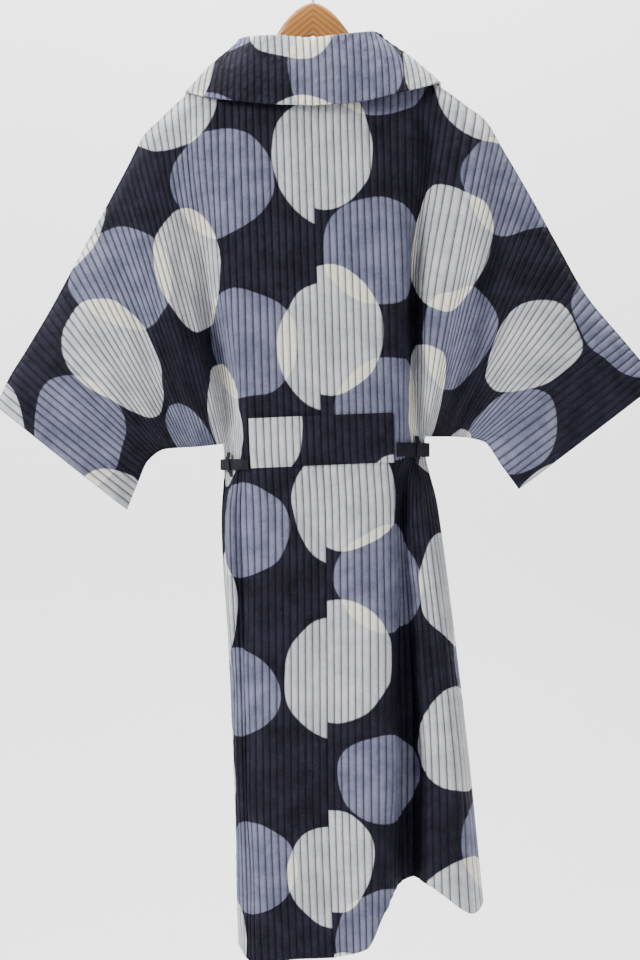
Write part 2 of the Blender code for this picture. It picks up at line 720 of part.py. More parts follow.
# Wooden hanger in two halves, mitred at the middle.
# x, top z, bottom z, half thickness, in millimetres
HANGER = (
    (0, -61, -107, 9), (8, -63, -110.5, 9), (17, -68, -115, 9), (30, -79, -122, 9),
    (44, -96, -134, 8.5), (58, -116, -148, 7), (70, -139.5, -161, 6), (83, -153.5, -172, 7.5),
    (100, -158.6, -177, 10.5), (130, -172, -189, 12), (165, -189.5, -204.5, 11),
    (190, -205.2, -216.5, 8), (200, -211.6, -218, 5),
)
HANGER_STEPS = 20
HANGER_SIDES = 10            # corners round an arm's section
HANGER_FLAT, HANGER_TALL = 0.55, 0.7    # how squared the section is, across and up
DROP_FROM, DROP_OVER = 40, 60           # the drop begins here and is full this much farther out
HANGER_DROP = {"left": 11.2 * MM, "right": 0 * MM}   # the left arm hangs with the lower shoulder


def hanger_half(side, material):
    hand = -1 if side == "left" else 1
    places = [row[0] for row in HANGER]
    rings = []
    for k in range(HANGER_STEPS + 1):
        x = places[-1] * k / HANGER_STEPS
        top, bottom, half = [curve(places, [row[n] for row in HANGER], x) * MM for n in (1, 2, 3)]
        drop = HANGER_DROP[side] * min(1.0, max(0.0, (x - DROP_FROM) / DROP_OVER))
        centre, tall = (top + bottom) / 2 - drop, (top - bottom) / 2
        ring = []
        for n in range(HANGER_SIDES):
            angle = 2 * math.pi * (n + 0.5) / HANGER_SIDES
            across = math.copysign(abs(math.cos(angle)) ** HANGER_FLAT, math.cos(angle))
            up = math.copysign(abs(math.sin(angle)) ** HANGER_TALL, math.sin(angle))
            ring.append(np.array((hand * (x * MM + GAP / 2), half * across, centre + tall * up)))
        rings.append(ring)
    return loft(f"hanger_{side}", rings, material)


# Wire hook above the hanger; the rail bears on its inside at the origin
HOOK_WIRE = 2.0 * MM         # radius of the wire
HOOK_BEND = 22 * MM          # radius of the hook to the wire's middle
HOOK_FOOT = -60.6 * MM


def hanger_hook(material):
    centre = HOOK_WIRE - HOOK_BEND
    route = [(0.0, 0.0, HOOK_FOOT), (0.0, 0.0, HOOK_FOOT + 8 * MM)]
    for k in range(15):
        angle = math.radians(-90 + 290 * k / 14)
        route.append((HOOK_BEND * math.cos(angle), 0.0, centre + HOOK_BEND * math.sin(angle)))
    wire = bpy.data.curves.new("hook_route", "CURVE")
    wire.dimensions = "3D"
    wire.bevel_depth = HOOK_WIRE
    wire.bevel_resolution = 2
    wire.use_fill_caps = True
    run = wire.splines.new("POLY")
    run.points.add(len(route) - 1)
    for point, place in zip(run.points, route):
        point.co = (*place, 1.0)
    wire.materials.append(material)
    item = bpy.data.objects.new("hanger_hook", wire)
    COAT.objects.link(item)
    return item


quilted_cloth = paint("quilted_print_cloth", (0.012, 0.012, 0.022), 0.75)
belt_cloth = paint("belt_cloth", (0.010, 0.010, 0.016), 0.8)
wood = paint("varnished_wood", (0.36, 0.14, 0.035), 0.35)
steel = paint("plated_steel", (0.62, 0.62, 0.64), 0.25, 1.0)

for face_name in ("back", "front"):
    for side_name in ("left", "right"):
        panel(side_name, face_name, quilted_cloth)
collar(quilted_cloth)
waist_band(quilted_cloth)
for side_name in ("left", "right"):
    belt(side_name, belt_cloth)
    belt_loop(side_name, belt_cloth)
    belt_end(side_name, belt_cloth)
    hanger_half(side_name, wood)
belt_knot(belt_cloth)
hanger_hook(steel)
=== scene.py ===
import math

import bpy
import numpy as np
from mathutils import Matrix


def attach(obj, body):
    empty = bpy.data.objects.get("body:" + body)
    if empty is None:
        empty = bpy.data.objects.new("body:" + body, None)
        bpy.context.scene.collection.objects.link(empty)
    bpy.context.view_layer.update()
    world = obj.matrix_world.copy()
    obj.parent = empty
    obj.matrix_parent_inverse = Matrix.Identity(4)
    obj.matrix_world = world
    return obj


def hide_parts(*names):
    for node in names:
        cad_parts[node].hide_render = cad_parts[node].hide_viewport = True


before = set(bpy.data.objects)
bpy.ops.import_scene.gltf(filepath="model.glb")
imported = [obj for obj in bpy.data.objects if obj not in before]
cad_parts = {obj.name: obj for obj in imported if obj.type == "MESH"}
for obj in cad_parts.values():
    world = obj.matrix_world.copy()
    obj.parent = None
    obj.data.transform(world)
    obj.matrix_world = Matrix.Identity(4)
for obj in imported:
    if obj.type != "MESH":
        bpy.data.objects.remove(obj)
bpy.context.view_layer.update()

MM = 0.001

# Cloth and quilting
PITCH = 9.65 * MM            # one sewn channel of the quilting
CLOTH = 3.0 * MM             # padded wall between two rows of stitching
RISE = 1.2 * MM              # how far a channel stands above its stitching
GAP = 0.3 * MM               # between pieces that meet at a seam
SEAM = GAP / 2 + CLOTH / 2   # middle of a wall that meets its neighbour face to face

# Rows of the panels: 0 is the neck, shoulder and overarm edge, 1 the waist and underarm, 2 the hem
UPPER_ROWS = (0.0, 0.05, 0.25, 0.55, 0.88, 1.0)
SKIRT_ROWS = (1.0, 1.15, 1.40, 1.67, 2.0)
CUFF = 60                    # channel at the sleeve's open end
SIDE = 24                    # channel at the side seam below the sleeve
NECK = 9                     # channel at the neck end of the shoulder seam

# Lines of the quilting from neck and shoulder to waist, in millimetres.
# channel, top x, top z, x at each row, foot x, foot z, half depth at each row
BODY_LINES = {
    "right": (
        (0, -4, -158, 0, 5, 10, 12, -652, 46, 54, 57, 52, 50),
        (5, 44, -146, 48, 53, 58, 60, -652, 40, 53, 57, 52, 50),
        (7.5, 68, -138, 71, 77, 82, 84, -652, 29, 51, 57, 51, 48),
        (9, 83, -134, 86, 91, 96, 98, -652, 22, 49, 56, 50, 47),
        (11, 103, -143, 105, 110, 115, 116, -652, 20, 46, 54, 46, 44),
        (12.5, 118, -150, 120, 122, 123, 123, -651, 19, 44, 48, 36, 38),
        (14, 132, -156, 134, 127, 126, 128, -651, 19, 40, 26, 21, 29),
        (16, 151, -165, 146, 132, 131, 134, -650, 18, 32, 13, 12, 20),
        (18, 172, -176, 156, 139, 138, 139, -650, 18, 27, 12, 9, 12),
        (20, 188, -187, 170, 150, 146, 143, -650, 18, 32, 27, 18, 6),
        (22, 209, -203, 190, 166, 153, 148, -650, 17, 35, 38, 28, 4),
    ),
    "left": (
        (0, -4, -158, 0, 5, 10, 12, -652, 46, 54, 57, 52, 50),
        (5, -52, -148, -48, -43, -38, -36, -652, 40, 53, 57, 52, 50),
        (7.5, -76, -142, -73, -67, -62, -60, -653, 29, 51, 57, 51, 48),
        (9, -91, -138, -87, -82, -77, -75, -653, 22, 49, 56, 50, 47),
        (11, -110, -148, -106, -101, -96, -92, -654, 20, 46, 55, 46, 42),
        (13, -129, -159, -126, -118, -104, -98, -655, 19, 43, 50, 27, 31),
        (14.5, -144, -168, -139, -127, -108, -102, -656, 20, 40, 36, 16, 23),
        (16, -158, -177, -152, -135, -113, -106, -657, 19, 36, 22, 11, 16),
        (18, -174, -189, -165, -143, -119, -110, -658, 18, 27, 14, 10, 10),
        (20, -192, -205, -178, -151, -125, -114, -659, 18, 26, 18, 14, 6),
        (22, -210, -223, -190, -160, -130, -118, -660, 17, 30, 28, 22, 4),
    ),
}

# Lines of the quilting across the sleeve, straight from overarm to underarm.
# channel, top x, top z, foot x, foot z, half depth at each row
SLEEVE_LINES = {
    "right": (
        (24, 232, -220, 152, -650, 17, 36, 42, 33),
        (28, 258, -262, 160, -650, 17, 35, 42, 32),
        (34, 296, -327, 172, -650, 16, 33, 38, 28),
        (40, 332, -392, 187, -650, 15, 31, 35, 24),
        (46, 369, -457, 206, -651, 14, 29, 32, 22),
        (52, 417, -515, 232, -657, 13, 27, 29, 20),
        (56, 443, -546, 257, -691, 12, 25, 27, 18),
        (60, 466, -578, 279, -721, 12, 23, 26, 17),
    ),
    "left": (
        (24, -227, -239, -122, -660, 17, 34, 36, 28),
        (28, -250, -282, -140, -662, 17, 35, 40, 30),
        (34, -284, -346, -160, -664, 16, 33, 38, 28),
        (40, -319, -410, -180, -665, 15, 31, 35, 24),
        (46, -354, -475, -201, -667, 14, 29, 32, 22),
        (52, -391, -537, -224, -683, 13, 27, 29, 20),
        (56, -412, -571, -238, -714, 12, 25, 27, 18),
        (60, -429, -608, -252, -749, 12, 23, 26, 17),
    ),
}

# The skirt's folds. channel, x at hip, mid, low and hem, half depth at the same, hem z
SKIRT_LINES = {
    "right": (
        (0, 17, 19, 20, 28, 52, 60, 74, 88, -1345),
        (5, 65, 67, 68, 72, 53, 62, 78, 92, -1333),
        (8, 94, 96, 97, 95, 50, 59, 75, 88, -1285),
        (9.5, 106, 107, 107, 105, 44, 48, 60, 72, -1265),
        (12, 113, 115, 118, 119, 29, 22, 24, 30, -1248),
        (14, 121, 130, 137, 137, 24, 16, 17, 22, -1243),
        (16.5, 132, 143, 154, 158, 32, 42, 56, 64, -1253),
        (19, 146, 163, 178, 184, 33, 46, 60, 66, -1272),
        (21.5, 159, 180, 199, 214, 20, 29, 40, 48, -1291),
        (23, 165, 185, 205, 225, 8, 12, 15, 18, -1286),
        (24, 169, 190, 210, 231, 0, 0, 0, 0, -1281),
    ),
    "left": (
        (0, 17, 19, 20, 28, 52, 60, 74, 88, -1345),
        (5, -31, -29, -28, -20, 53, 62, 78, 92, -1346),
        (9, -69, -67, -65, -57, 51, 60, 76, 90, -1352),
        (11, -88, -85, -82, -74, 46, 54, 70, 82, -1354),
        (12.3, -98, -93, -88, -81, 34, 44, 62, 76, -1352),
        (14, -111, -104, -97, -90, 38, 46, 60, 70, -1344),
        (16, -115, -109, -102, -96, 28, 36, 47, 55, -1336),
        (19, -118, -111, -103, -98, 15, 20, 27, 33, -1332),
        (22, -120, -112, -104, -98, 6, 7, 9, 11, -1330),
        (24, -124, -115, -107, -101, 0, 0, 0, 0, -1330),
    ),
}

# Top edge beside the neck. channel, back half depth, front z, front half depth
NECK_EDGE = ((0, 40, -330, 52), (5, 34, -228, 46), (9, 0, -134, 0))


# Soft creases that front and back share. channel at top and foot, half width, height, from, to
CREASES = {
    "right": ((27, 33, 4, 7, 0.15, 1.0), (36, 41, 3, -6, 0.3, 1.05), (44, 49, 4, 5, 0.1, 1.0),
              (3, 6, 5, 4, 1.1, 2.2)),
    "left": ((24, 31, 4, 7, 0.2, 1.05), (33, 38, 3, -7, 0.35, 1.05), (43, 50, 4, 6, 0.1, 0.9),
             (4, 6, 5, 4, 1.1, 2.2)),
}


# Collar: a deep fold-over, from the neck seam up inside to its fold and down to its free edge.
# channel, fold's distance outward along x, y and z from the neck edge, free edge x, y, z
COLLAR_CLOTH = 2.6 * MM
COLLAR_LINES = {
    "right": (
        (0, 0, 3, 42, 0, -64, -207),
        (6, 7, 2, 40, 55, -60, -203),
        (12, 12, 0, 36, 112, -46, -189),
        (15, 10, 0, 33, 148, -27, -179),
        (17, 8, 0, 28, 171, -6, -171),
        (19, 5, 5, 24, 173, 24, -180),
        (21, 0, 9, 19, 160, 50, -204),
        (24, -6, 10, 14, 118, 66, -262),
        (28, -9, 9, 11, 60, 72, -326),
        (31, -4, 9, 10, 24, 74, -350),
    ),
    "left": (
        (0, 0, 3, 42, 0, -64, -207),
        (6, 7, 2, 40, -58, -60, -205),
        (12, 11, 0, 34, -116, -46, -198),
        (15, 9, 0, 30, -150, -27, -191),
        (17, 7, 0, 26, -171, -6, -184),
        (19, 5, 5, 23, -173, 24, -192),
        (21, 0, 9, 18, -160, 50, -214),
        (24, -6, 10, 14, -118, 66, -266),
        (28, -9, 9, 11, -60, 72, -328),
        (31, -4, 9, 10, -24, 74, -350),
    ),
}
COLLAR_END = 31
COLLAR_ROWS = 5
SHOULDER_CHANNEL = 17        # collar channel over the shoulder seam
SHOULDER_TURN = 1.6          # collar channels each side of it where the foot stands straight up
FRONT_NECK_END = 1.8         # panel channel where each end of the collar stops
FOOT_CLEAR = 1.0 * MM        # from the panels' neck edge to the collar's foot, at the centre back
FOOT_CLEAR_ROUND = 3.2 * MM  # the same where the neck edge turns over the shoulder
FOLD_HALF = 4.5 * MM         # half the fold's thickness, between the middles of its two walls


ACROSS = 4                   # columns of the mesh in one channel
ROW_STEP = 4.3 * MM          # between two rows of the mesh

rng = np.random.default_rng(7)


def slopes(nodes, values):
    """Slopes of smooth curves through the values (nodes first) that never overshoot them."""
    step = np.diff(nodes).reshape(-1, *[1] * (values.ndim - 1))
    rate = np.diff(values, axis=0) / step
    out = np.zeros_like(values)
    out[0], out[-1] = rate[0], rate[-1]
    first, second = 2 * step[1:] + step[:-1], step[1:] + 2 * step[:-1]
    with np.errstate(divide="ignore", invalid="ignore"):
        inner = (first + second) / (first / rate[:-1] + second / rate[1:])
    out[1:-1] = np.where(rate[:-1] * rate[1:] > 0, inner, 0.0)
    return out


def curve(nodes, values, at, start=None):
    """The smooth curves' values at many places; start sets their first slopes."""
    nodes, values, at = np.asarray(nodes, float), np.asarray(values, float), np.asarray(at, float)
    grade = slopes(nodes, values)
    if start is not None:
        grade[0] = start
    k = np.clip(np.searchsorted(nodes, at, side="right") - 1, 0, len(nodes) - 2)
    shape = (-1, *[1] * (values.ndim - 1))
    width = (nodes[k + 1] - nodes[k]).reshape(shape)
    t = (at - nodes[k]).reshape(shape) / width
    square, cube = t * t, t * t * t
    return ((2 * cube - 3 * square + 1) * values[k] + (cube - 2 * square + t) * width * grade[k]
            + (3 * square - 2 * cube) * values[k + 1] + (cube - square) * width * grade[k + 1])


def smooth(a, b, x):
    """0 below a, 1 above b, and a soft step between them."""
    t = np.clip((x - a) / (b - a), 0.0, 1.0)
    return t * t * (3 - 2 * t)


def upper_lines(side, face):
    """Channels and, for each, x (6 rows), z of top and foot, and half depth (6 rows), in mm."""
    channels, xs, zs, depths = [], [], [], []
    for channel, top_x, top_z, x25, x55, x88, foot_x, foot_z, *depth in BODY_LINES[side]:
        top_depth = 0.0
        if channel <= NECK:
            places = [row[0] for row in NECK_EDGE]
            top_depth = curve(places, [row[1] for row in NECK_EDGE], [channel])[0]
            if face == "front":
                top_depth = curve(places, [row[3] for row in NECK_EDGE], [channel])[0]
                if channel < NECK:
                    top_z = curve(places, [row[2] for row in NECK_EDGE], [channel])[0]
        channels.append(channel)
        xs.append((top_x, top_x + (x25 - top_x) * 0.2, x25, x55, x88, foot_x))
        zs.append((top_z, foot_z))
        depths.append((top_depth, *depth))
    for channel, top_x, top_z, foot_x, foot_z, *depth in SLEEVE_LINES[side]:
        channels.append(channel)
        xs.append([top_x + (foot_x - top_x) * row for row in UPPER_ROWS])
        zs.append((top_z, foot_z))
        depths.append((0, *depth, 0))
    return np.array(channels, float), np.array(xs), np.array(zs, float), np.array(depths, float)


def lower_lines(side):
    table = np.array(SKIRT_LINES[side], float)
    return table[:, 0], table[:, 1:5], table[:, 9], table[:, 5:9]


UPPER = {(side, face): upper_lines(side, face)
         for side in ("left", "right") for face in ("back", "front")}
LOWER = {side: lower_lines(side) for side in ("left", "right")}


def crease(side, channels, rows):
    """How far the shared creases push the cloth towards the viewer's side."""
    total = np.zeros((len(rows), len(channels)))
    for top, foot, half, height, start, end in CREASES[side]:
        place = top + (foot - top) * np.minimum(rows, 1.0)[:, None]
        across = (channels[None, :] - place) / half
        along = ((rows - start) / (end - start))[:, None]
        inside = (np.abs(across) < 1) & (along > 0) & (along < 1)
        wave = height * MM * (np.cos(across * math.pi) + 1) / 2 * np.sin(along * math.pi)
        total += np.where(inside, wave, 0.0)
    return total


def middle(side, face, channels, rows):
    """Points on the middle of a panel's wall, as rows by channels."""
    channels, rows = np.asarray(channels, float), np.asarray(rows, float)
    places, xs, zs, depths = UPPER[side, face]
    x, z, deep = [curve(places, table, channels).T * MM for table in (xs, zs, depths)]
    above = rows <= 1.0
    high, low = rows[above], rows[~above]
    px = np.empty((len(rows), len(channels)))
    pz, pd = px.copy(), px.copy()
    px[above], pd[above] = curve(UPPER_ROWS, x, high), curve(UPPER_ROWS, deep, high)
    pz[above] = z[0] + (z[1] - z[0]) * high[:, None]
    if len(low):
        places, skirt_x, hem, skirt_deep = LOWER[side]
        held = np.minimum(channels, SIDE)
        lx, lh, ld = [curve(places, table, held).T * MM for table in (skirt_x, hem, skirt_deep)]
        px[~above] = curve(SKIRT_ROWS, np.vstack([x[-1:], lx]), low, slopes(UPPER_ROWS, x)[-1])
        pd[~above] = curve(SKIRT_ROWS, np.vstack([deep[-1:], ld]), low, slopes(UPPER_ROWS, deep)[-1])
        pz[~above] = z[1] + (lh - z[1]) * (low - 1)[:, None]
    pd = np.maximum(pd, SEAM)
    out = -1 if face == "back" else 1
    return np.stack([px, out * pd - crease(side, channels, rows), pz], axis=-1)


def unit(vectors):
    return vectors / np.maximum(np.linalg.norm(vectors, axis=-1, keepdims=True), 1e-12)


def grid_normals(points, towards):
    """Directions square to a grid of points, on the side of the given direction."""
    square = unit(np.cross(np.gradient(points, axis=1), np.gradient(points, axis=0)))
    return square * np.sign((square * towards).sum())


def wall(name, outer, inner, cells, uv, materials):
    """A closed cloth wall between two grids of points, over the cells that it has."""
    used = np.zeros(outer.shape[:2], bool)
    for a in (slice(None, -1), slice(1, None)):
        for b in (slice(None, -1), slice(1, None)):
            used[a, b] |= cells
    count = int(used.sum())
    number = np.full(used.shape, -1)
    number[used] = np.arange(count)
    i, j = np.nonzero(cells)
    a, b, c, d = number[i, j], number[i, j + 1], number[i + 1, j + 1], number[i + 1, j]
    faces = [np.stack([a, b, c, d], 1), np.stack([a, d, c, b], 1) + count]
    padded = np.pad(cells, 1)
    for di, dj, p, q in ((-1, 0, a, b), (0, 1, b, c), (1, 0, c, d), (0, -1, d, a)):
        rim = ~padded[i + 1 + di, j + 1 + dj]
        faces.append(np.stack([q[rim], p[rim], p[rim] + count, q[rim] + count], 1))
    kinds = np.concatenate([np.full(len(f), k == 1) for k, f in enumerate(faces)]).astype(np.int32)
    faces = np.concatenate(faces)
    points = np.concatenate([outer[used], inner[used]])
    corner = points[faces]
    volume = np.einsum("ij,ij->i", corner[:, 0], np.cross(corner[:, 1], corner[:, 2])).sum()
    volume += np.einsum("ij,ij->i", corner[:, 0], np.cross(corner[:, 2], corner[:, 3])).sum()
    if volume < 0:
        faces = faces[:, ::-1]
    return add_mesh(name, points, faces, materials, np.concatenate([uv[used], uv[used]]), kinds)


def add_mesh(name, points, faces, materials, uv=None, kinds=None, sharp=50.0):
    """One piece from points and faces; faces is an array of quads or a list of lists."""
    mesh = bpy.data.meshes.new(name)
    mesh.from_pydata(np.asarray(points).tolist(), [],
                     faces.tolist() if hasattr(faces, "tolist") else faces)
    if uv is not None:
        corners = np.empty(len(mesh.loops), np.int32)
        mesh.loops.foreach_get("vertex_index", corners)
        mesh.uv_layers.new(name="cloth").data.foreach_set("uv", uv[corners].ravel())
    if kinds is not None:
        mesh.polygons.foreach_set("material_index", kinds)
    for material in materials:
        mesh.materials.append(material)
    mesh.shade_smooth()
    if sharp:
        mesh.set_sharp_from_angle(angle=math.radians(sharp))
    mesh.update()
    item = bpy.data.objects.new(name, mesh)
    bpy.context.scene.collection.objects.link(item)
    return item


def settle(piece, slot, *nodes):
    """The piece hangs with the coat and stands for the nodes, which it hides; slot is not used."""
    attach(piece, "root")
    if nodes:
        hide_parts(*nodes)
    return piece


class Value:
    """A shader socket; arithmetic on it adds Math nodes."""

    def __init__(self, finish, socket):
        self.finish, self.socket = finish, socket

    def math(self, operation, *others):
        settings = {"operation": operation}
        return self.finish.node("ShaderNodeMath", settings, dict(enumerate((self, *others))))

    def __add__(self, other):
        return self.math("ADD", other)

    def __sub__(self, other):
        return self.math("SUBTRACT", other)

    def __rsub__(self, other):
        return self.finish.node("ShaderNodeMath", {"operation": "SUBTRACT"}, {0: other, 1: self})

    def __mul__(self, other):
        return self.math("MULTIPLY", other)

    def __truediv__(self, other):
        return self.math("DIVIDE", other)

    __radd__, __rmul__ = __add__, __mul__

    def step(self, low, high):
        """0 at low, 1 at high, and soft between them."""
        return self.finish.node("ShaderNodeMapRange", {"interpolation_type": "SMOOTHSTEP"},
                                {"Value": self, "From Min": low, "From Max": high})


class Finish:
    """A procedural material and the nodes that make it."""

    def __init__(self, name, roughness=0.6, metallic=0.0, gloss=0.5):
        self.material = bpy.data.materials.new(name)
        self.material.use_nodes = True
        self.tree = self.material.node_tree
        self.shader = self.tree.nodes["Principled BSDF"]
        self.shader.inputs["Roughness"].default_value = roughness
        self.shader.inputs["Metallic"].default_value = metallic
        self.shader.inputs["Specular IOR Level"].default_value = gloss

    def node(self, kind, settings=None, sockets=None, out=0):
        """A node with its settings made first, then its sockets' values or links."""
        made = self.tree.nodes.new(kind)
        for key, value in (settings or {}).items():
            if key == "stops":
                ramp = made.color_ramp.elements
                while len(ramp) < len(value):
                    ramp.new(0.5)
                for stop, (place, colour) in zip(ramp, value):
                    stop.position, stop.color = place, (*colour, 1.0)
            else:
                setattr(made, key, value)
        for key, value in (sockets or {}).items():
            if isinstance(value, Value):
                self.tree.links.new(value.socket, made.inputs[key])
            else:
                made.inputs[key].default_value = value
        return Value(self, made.outputs[out])

    def place(self, kind="Object"):
        return self.node("ShaderNodeTexCoord", out=kind)

    def split(self, vector):
        made = self.node("ShaderNodeSeparateXYZ", sockets={0: vector})
        return [Value(self, made.socket.node.outputs[k]) for k in range(3)]

    def joined(self, x, y, z=0.0):
        return self.node("ShaderNodeCombineXYZ", sockets={0: x, 1: y, 2: z})

    def noise(self, vector, scale, detail=2.0, roughness=0.5):
        return self.node("ShaderNodeTexNoise", sockets={
            "Vector": vector, "Scale": scale, "Detail": detail, "Roughness": roughness})

    def mix(self, share, a, b, blend="MIX"):
        colours = [value if isinstance(value, Value) else (*value, 1.0) for value in (a, b)]
        return self.node("ShaderNodeMix", {"data_type": "RGBA", "blend_type": blend},
                         {0: share, 6: colours[0], 7: colours[1]}, out=2)

    def set(self, name, value):
        self.tree.links.new(value.socket, self.shader.inputs[name])

    def bump(self, height, distance, strength=1.0, under=None):
        sockets = {"Height": height, "Distance": distance, "Strength": strength}
        if under is not None:
            sockets["Normal"] = under
        return self.node("ShaderNodeBump", sockets=sockets)


INK_DARK, INK_LIGHT = (0.0045, 0.0038, 0.0085), (0.017, 0.015, 0.030)
PALE_DARK, PALE_LIGHT = (0.40, 0.41, 0.45), (0.60, 0.60, 0.61)
BLUE_DARK, BLUE_LIGHT = (0.105, 0.108, 0.175), (0.20, 0.205, 0.29)
CREAM = (0.80, 0.77, 0.66)

# Layers of the print: column width, drop of a row, half width and half height of a spot, and
# where the layer's first spot lies, in metres
PALE_SPOTS = (0.205, 0.236, 0.066, 0.078, 0.000, 0.040)
BLUE_SPOTS = (0.205, 0.236, 0.073, 0.066, 0.074, 0.146)


def spots(finish, u, v, layer):
    """1 inside the soft-edged pebbles of one layer of the print, which lie in a half drop."""
    width, drop, half_u, half_v, first_u, first_v = layer
    across = (u - first_u) / width + 0.5
    column = across.math("FLOOR")
    odd = (column * 0.5).math("FRACT") * 2.0
    up = (v - first_v) / drop + odd * 0.5 + 0.5
    row = up.math("FLOOR")
    chance = finish.node("ShaderNodeTexWhiteNoise", {"noise_dimensions": "2D"},
                         {"Vector": finish.joined(column, row)}, out="Color")
    shift_u, shift_v, size = finish.split(chance)
    local_u = (across - column - 0.5) * width - (shift_u - 0.5) * 0.03
    local_v = (up - row - 0.5) * drop - (shift_v - 0.5) * 0.034
    wobble = finish.noise(finish.joined(u, v), 11.0, 1.0) - 0.5
    grow = size * 0.26 + 0.87
    du, dv = local_u / (grow * half_u), local_v / (grow * half_v)
    away = (du * du + dv * dv).math("SQRT") + wobble * 0.34
    return 1.0 - away.step(0.985, 1.015)


def quilted_finish(name, printed=True):
    """Quilted cotton: fine weave, a sewn line at each channel's edge, puckers between them, and painted
    shade that darkens the valley beside each sewn line.
    """
    finish = Finish(name, 0.72, gloss=0.14)
    uv = finish.place("UV")
    u, v, _ = finish.split(uv)
    across = (u / PITCH).math("FRACT")
    edge = across.math("MINIMUM", 1.0 - across)
    sewn = 1.0 - edge.step(0.015, 0.075)
    # valley: 1 at a channel's sewn edge, fading out towards its crown; it sets the painted shade below and
    # flattens the puckers' bump
    valley = 1.0 - edge.step(0.0, 0.3)
    channel = (u / PITCH).math("FLOOR")
    slant = finish.joined(u * 55.0 + v * 26.0, v * 95.0 - u * 30.0, channel * 3.7)
    pucker = finish.noise(slant, 1.0, 3.0, 0.6)
    weave = ((u * 7400.0).math("SINE") * (v * 7400.0).math("SINE") + 1.0) * 0.5
    mottle = finish.noise(finish.joined(u, v), 26.0, 4.0, 0.62)
    fine = finish.noise(finish.joined(u * 900.0, v * 320.0), 1.0, 2.0, 0.6)
    shade = mottle * 0.65 + fine * 0.35
    colour = finish.mix(shade.step(0.34, 0.66), INK_DARK, INK_LIGHT)
    if printed:
        pale, blue = spots(finish, u, v, PALE_SPOTS), spots(finish, u, v, BLUE_SPOTS)
        pale_colour = finish.mix(shade.step(0.34, 0.66), PALE_DARK, PALE_LIGHT)
        blue_colour = finish.mix(shade.step(0.34, 0.66), BLUE_DARK, BLUE_LIGHT)
        colour = finish.mix(blue, colour, blue_colour)
        colour = finish.mix(pale, colour, pale_colour)
        colour = finish.mix(pale * blue, colour, CREAM)
    # painted shade: up to 28% towards black in the valley beside each sewn line, where the channel dips
    colour = finish.mix(valley * 0.28, colour, (0.0, 0.0, 0.0))
    stitches = ((v / 0.0031).math("FRACT") - 0.5).math("ABSOLUTE").step(0.28, 0.4)
    colour = finish.mix(sewn * (0.82 - stitches * 0.25), colour, (0.012, 0.011, 0.02))
    finish.set("Base Color", colour)
    deep = finish.bump(pucker * (1.0 - valley * 0.7), 0.0034, 0.9)
    seam = finish.bump(1.0 - sewn, 0.0009, 1.0, deep)
    finish.set("Normal", finish.bump(weave * 0.5 + fine * 0.5, 0.00012, 0.5, seam))
    return finish.material


def plain_cloth_finish(name):
    """Plain black cotton of the belt: twill, a little dust-grey in its highlights."""
    finish = Finish(name, 0.74, gloss=0.16)
    place = finish.place()
    x, y, z = finish.split(place)
    twill = ((x * 5200.0 + z * 5200.0 + y * 5200.0).math("SINE") + 1.0) * 0.5
    mottle = finish.noise(place, 60.0, 4.0, 0.6)
    finish.set("Base Color", finish.mix(mottle.step(0.3, 0.7), (0.004, 0.004, 0.007), (0.013, 0.012, 0.02)))
    finish.set("Roughness", mottle * 0.2 + 0.64)
    rough = finish.bump(finish.noise(place, 260.0, 3.0), 0.0006, 0.5)
    finish.set("Normal", finish.bump(twill, 0.00012, 0.5, rough))
    return finish.material


def wood_finish(side):
    """Varnished wood; the grain of each half runs down along its arm."""
    finish = Finish(f"hanger_wood_{side}", 0.34)
    x, y, z = finish.split(finish.place())
    hand = -1.0 if side == "left" else 1.0
    along = x * (0.78 * hand) - z * 0.62
    across = x * (0.62 * hand) + z * 0.78
    wander = finish.noise(finish.joined(along * 6.0, across * 20.0, y * 20.0), 1.0, 3.0)
    rings = ((across * 900.0 + wander * 13.0 + y * 140.0).math("SINE") + 1.0) * 0.5
    pores = finish.noise(finish.joined(along * 90.0, across * 1500.0, y * 1500.0), 1.0, 2.0)
    tone = rings * 0.3 + wander * 0.45 + pores * 0.25
    ramp = finish.node("ShaderNodeValToRGB", {"stops": (
        (0.2, (0.23, 0.085, 0.018)), (0.5, (0.42, 0.175, 0.04)), (0.85, (0.56, 0.27, 0.075)))},
        {0: tone})
    finish.set("Base Color", ramp)
    finish.set("Roughness", pores * 0.2 + 0.26)
    finish.set("Normal", finish.bump(pores, 0.0003, 0.35))
    finish.shader.inputs["Coat Weight"].default_value = 0.35
    finish.shader.inputs["Coat Roughness"].default_value = 0.2
    return finish.material


def steel_finish():
    finish = Finish("plated_steel", 0.2, 1.0)
    place = finish.place()
    scuff = finish.noise(place, 900.0, 3.0)
    finish.set("Base Color", finish.mix(scuff, (0.52, 0.52, 0.54), (0.68, 0.68, 0.70)))
    finish.set("Roughness", scuff * 0.22 + 0.12)
    finish.set("Normal", finish.bump(scuff, 0.0001, 0.3))
    return finish.material


PRINT = quilted_finish("printed_quilting")
LINING = quilted_finish("plain_quilting", printed=False)
BELT_CLOTH = plain_cloth_finish("belt_cotton")

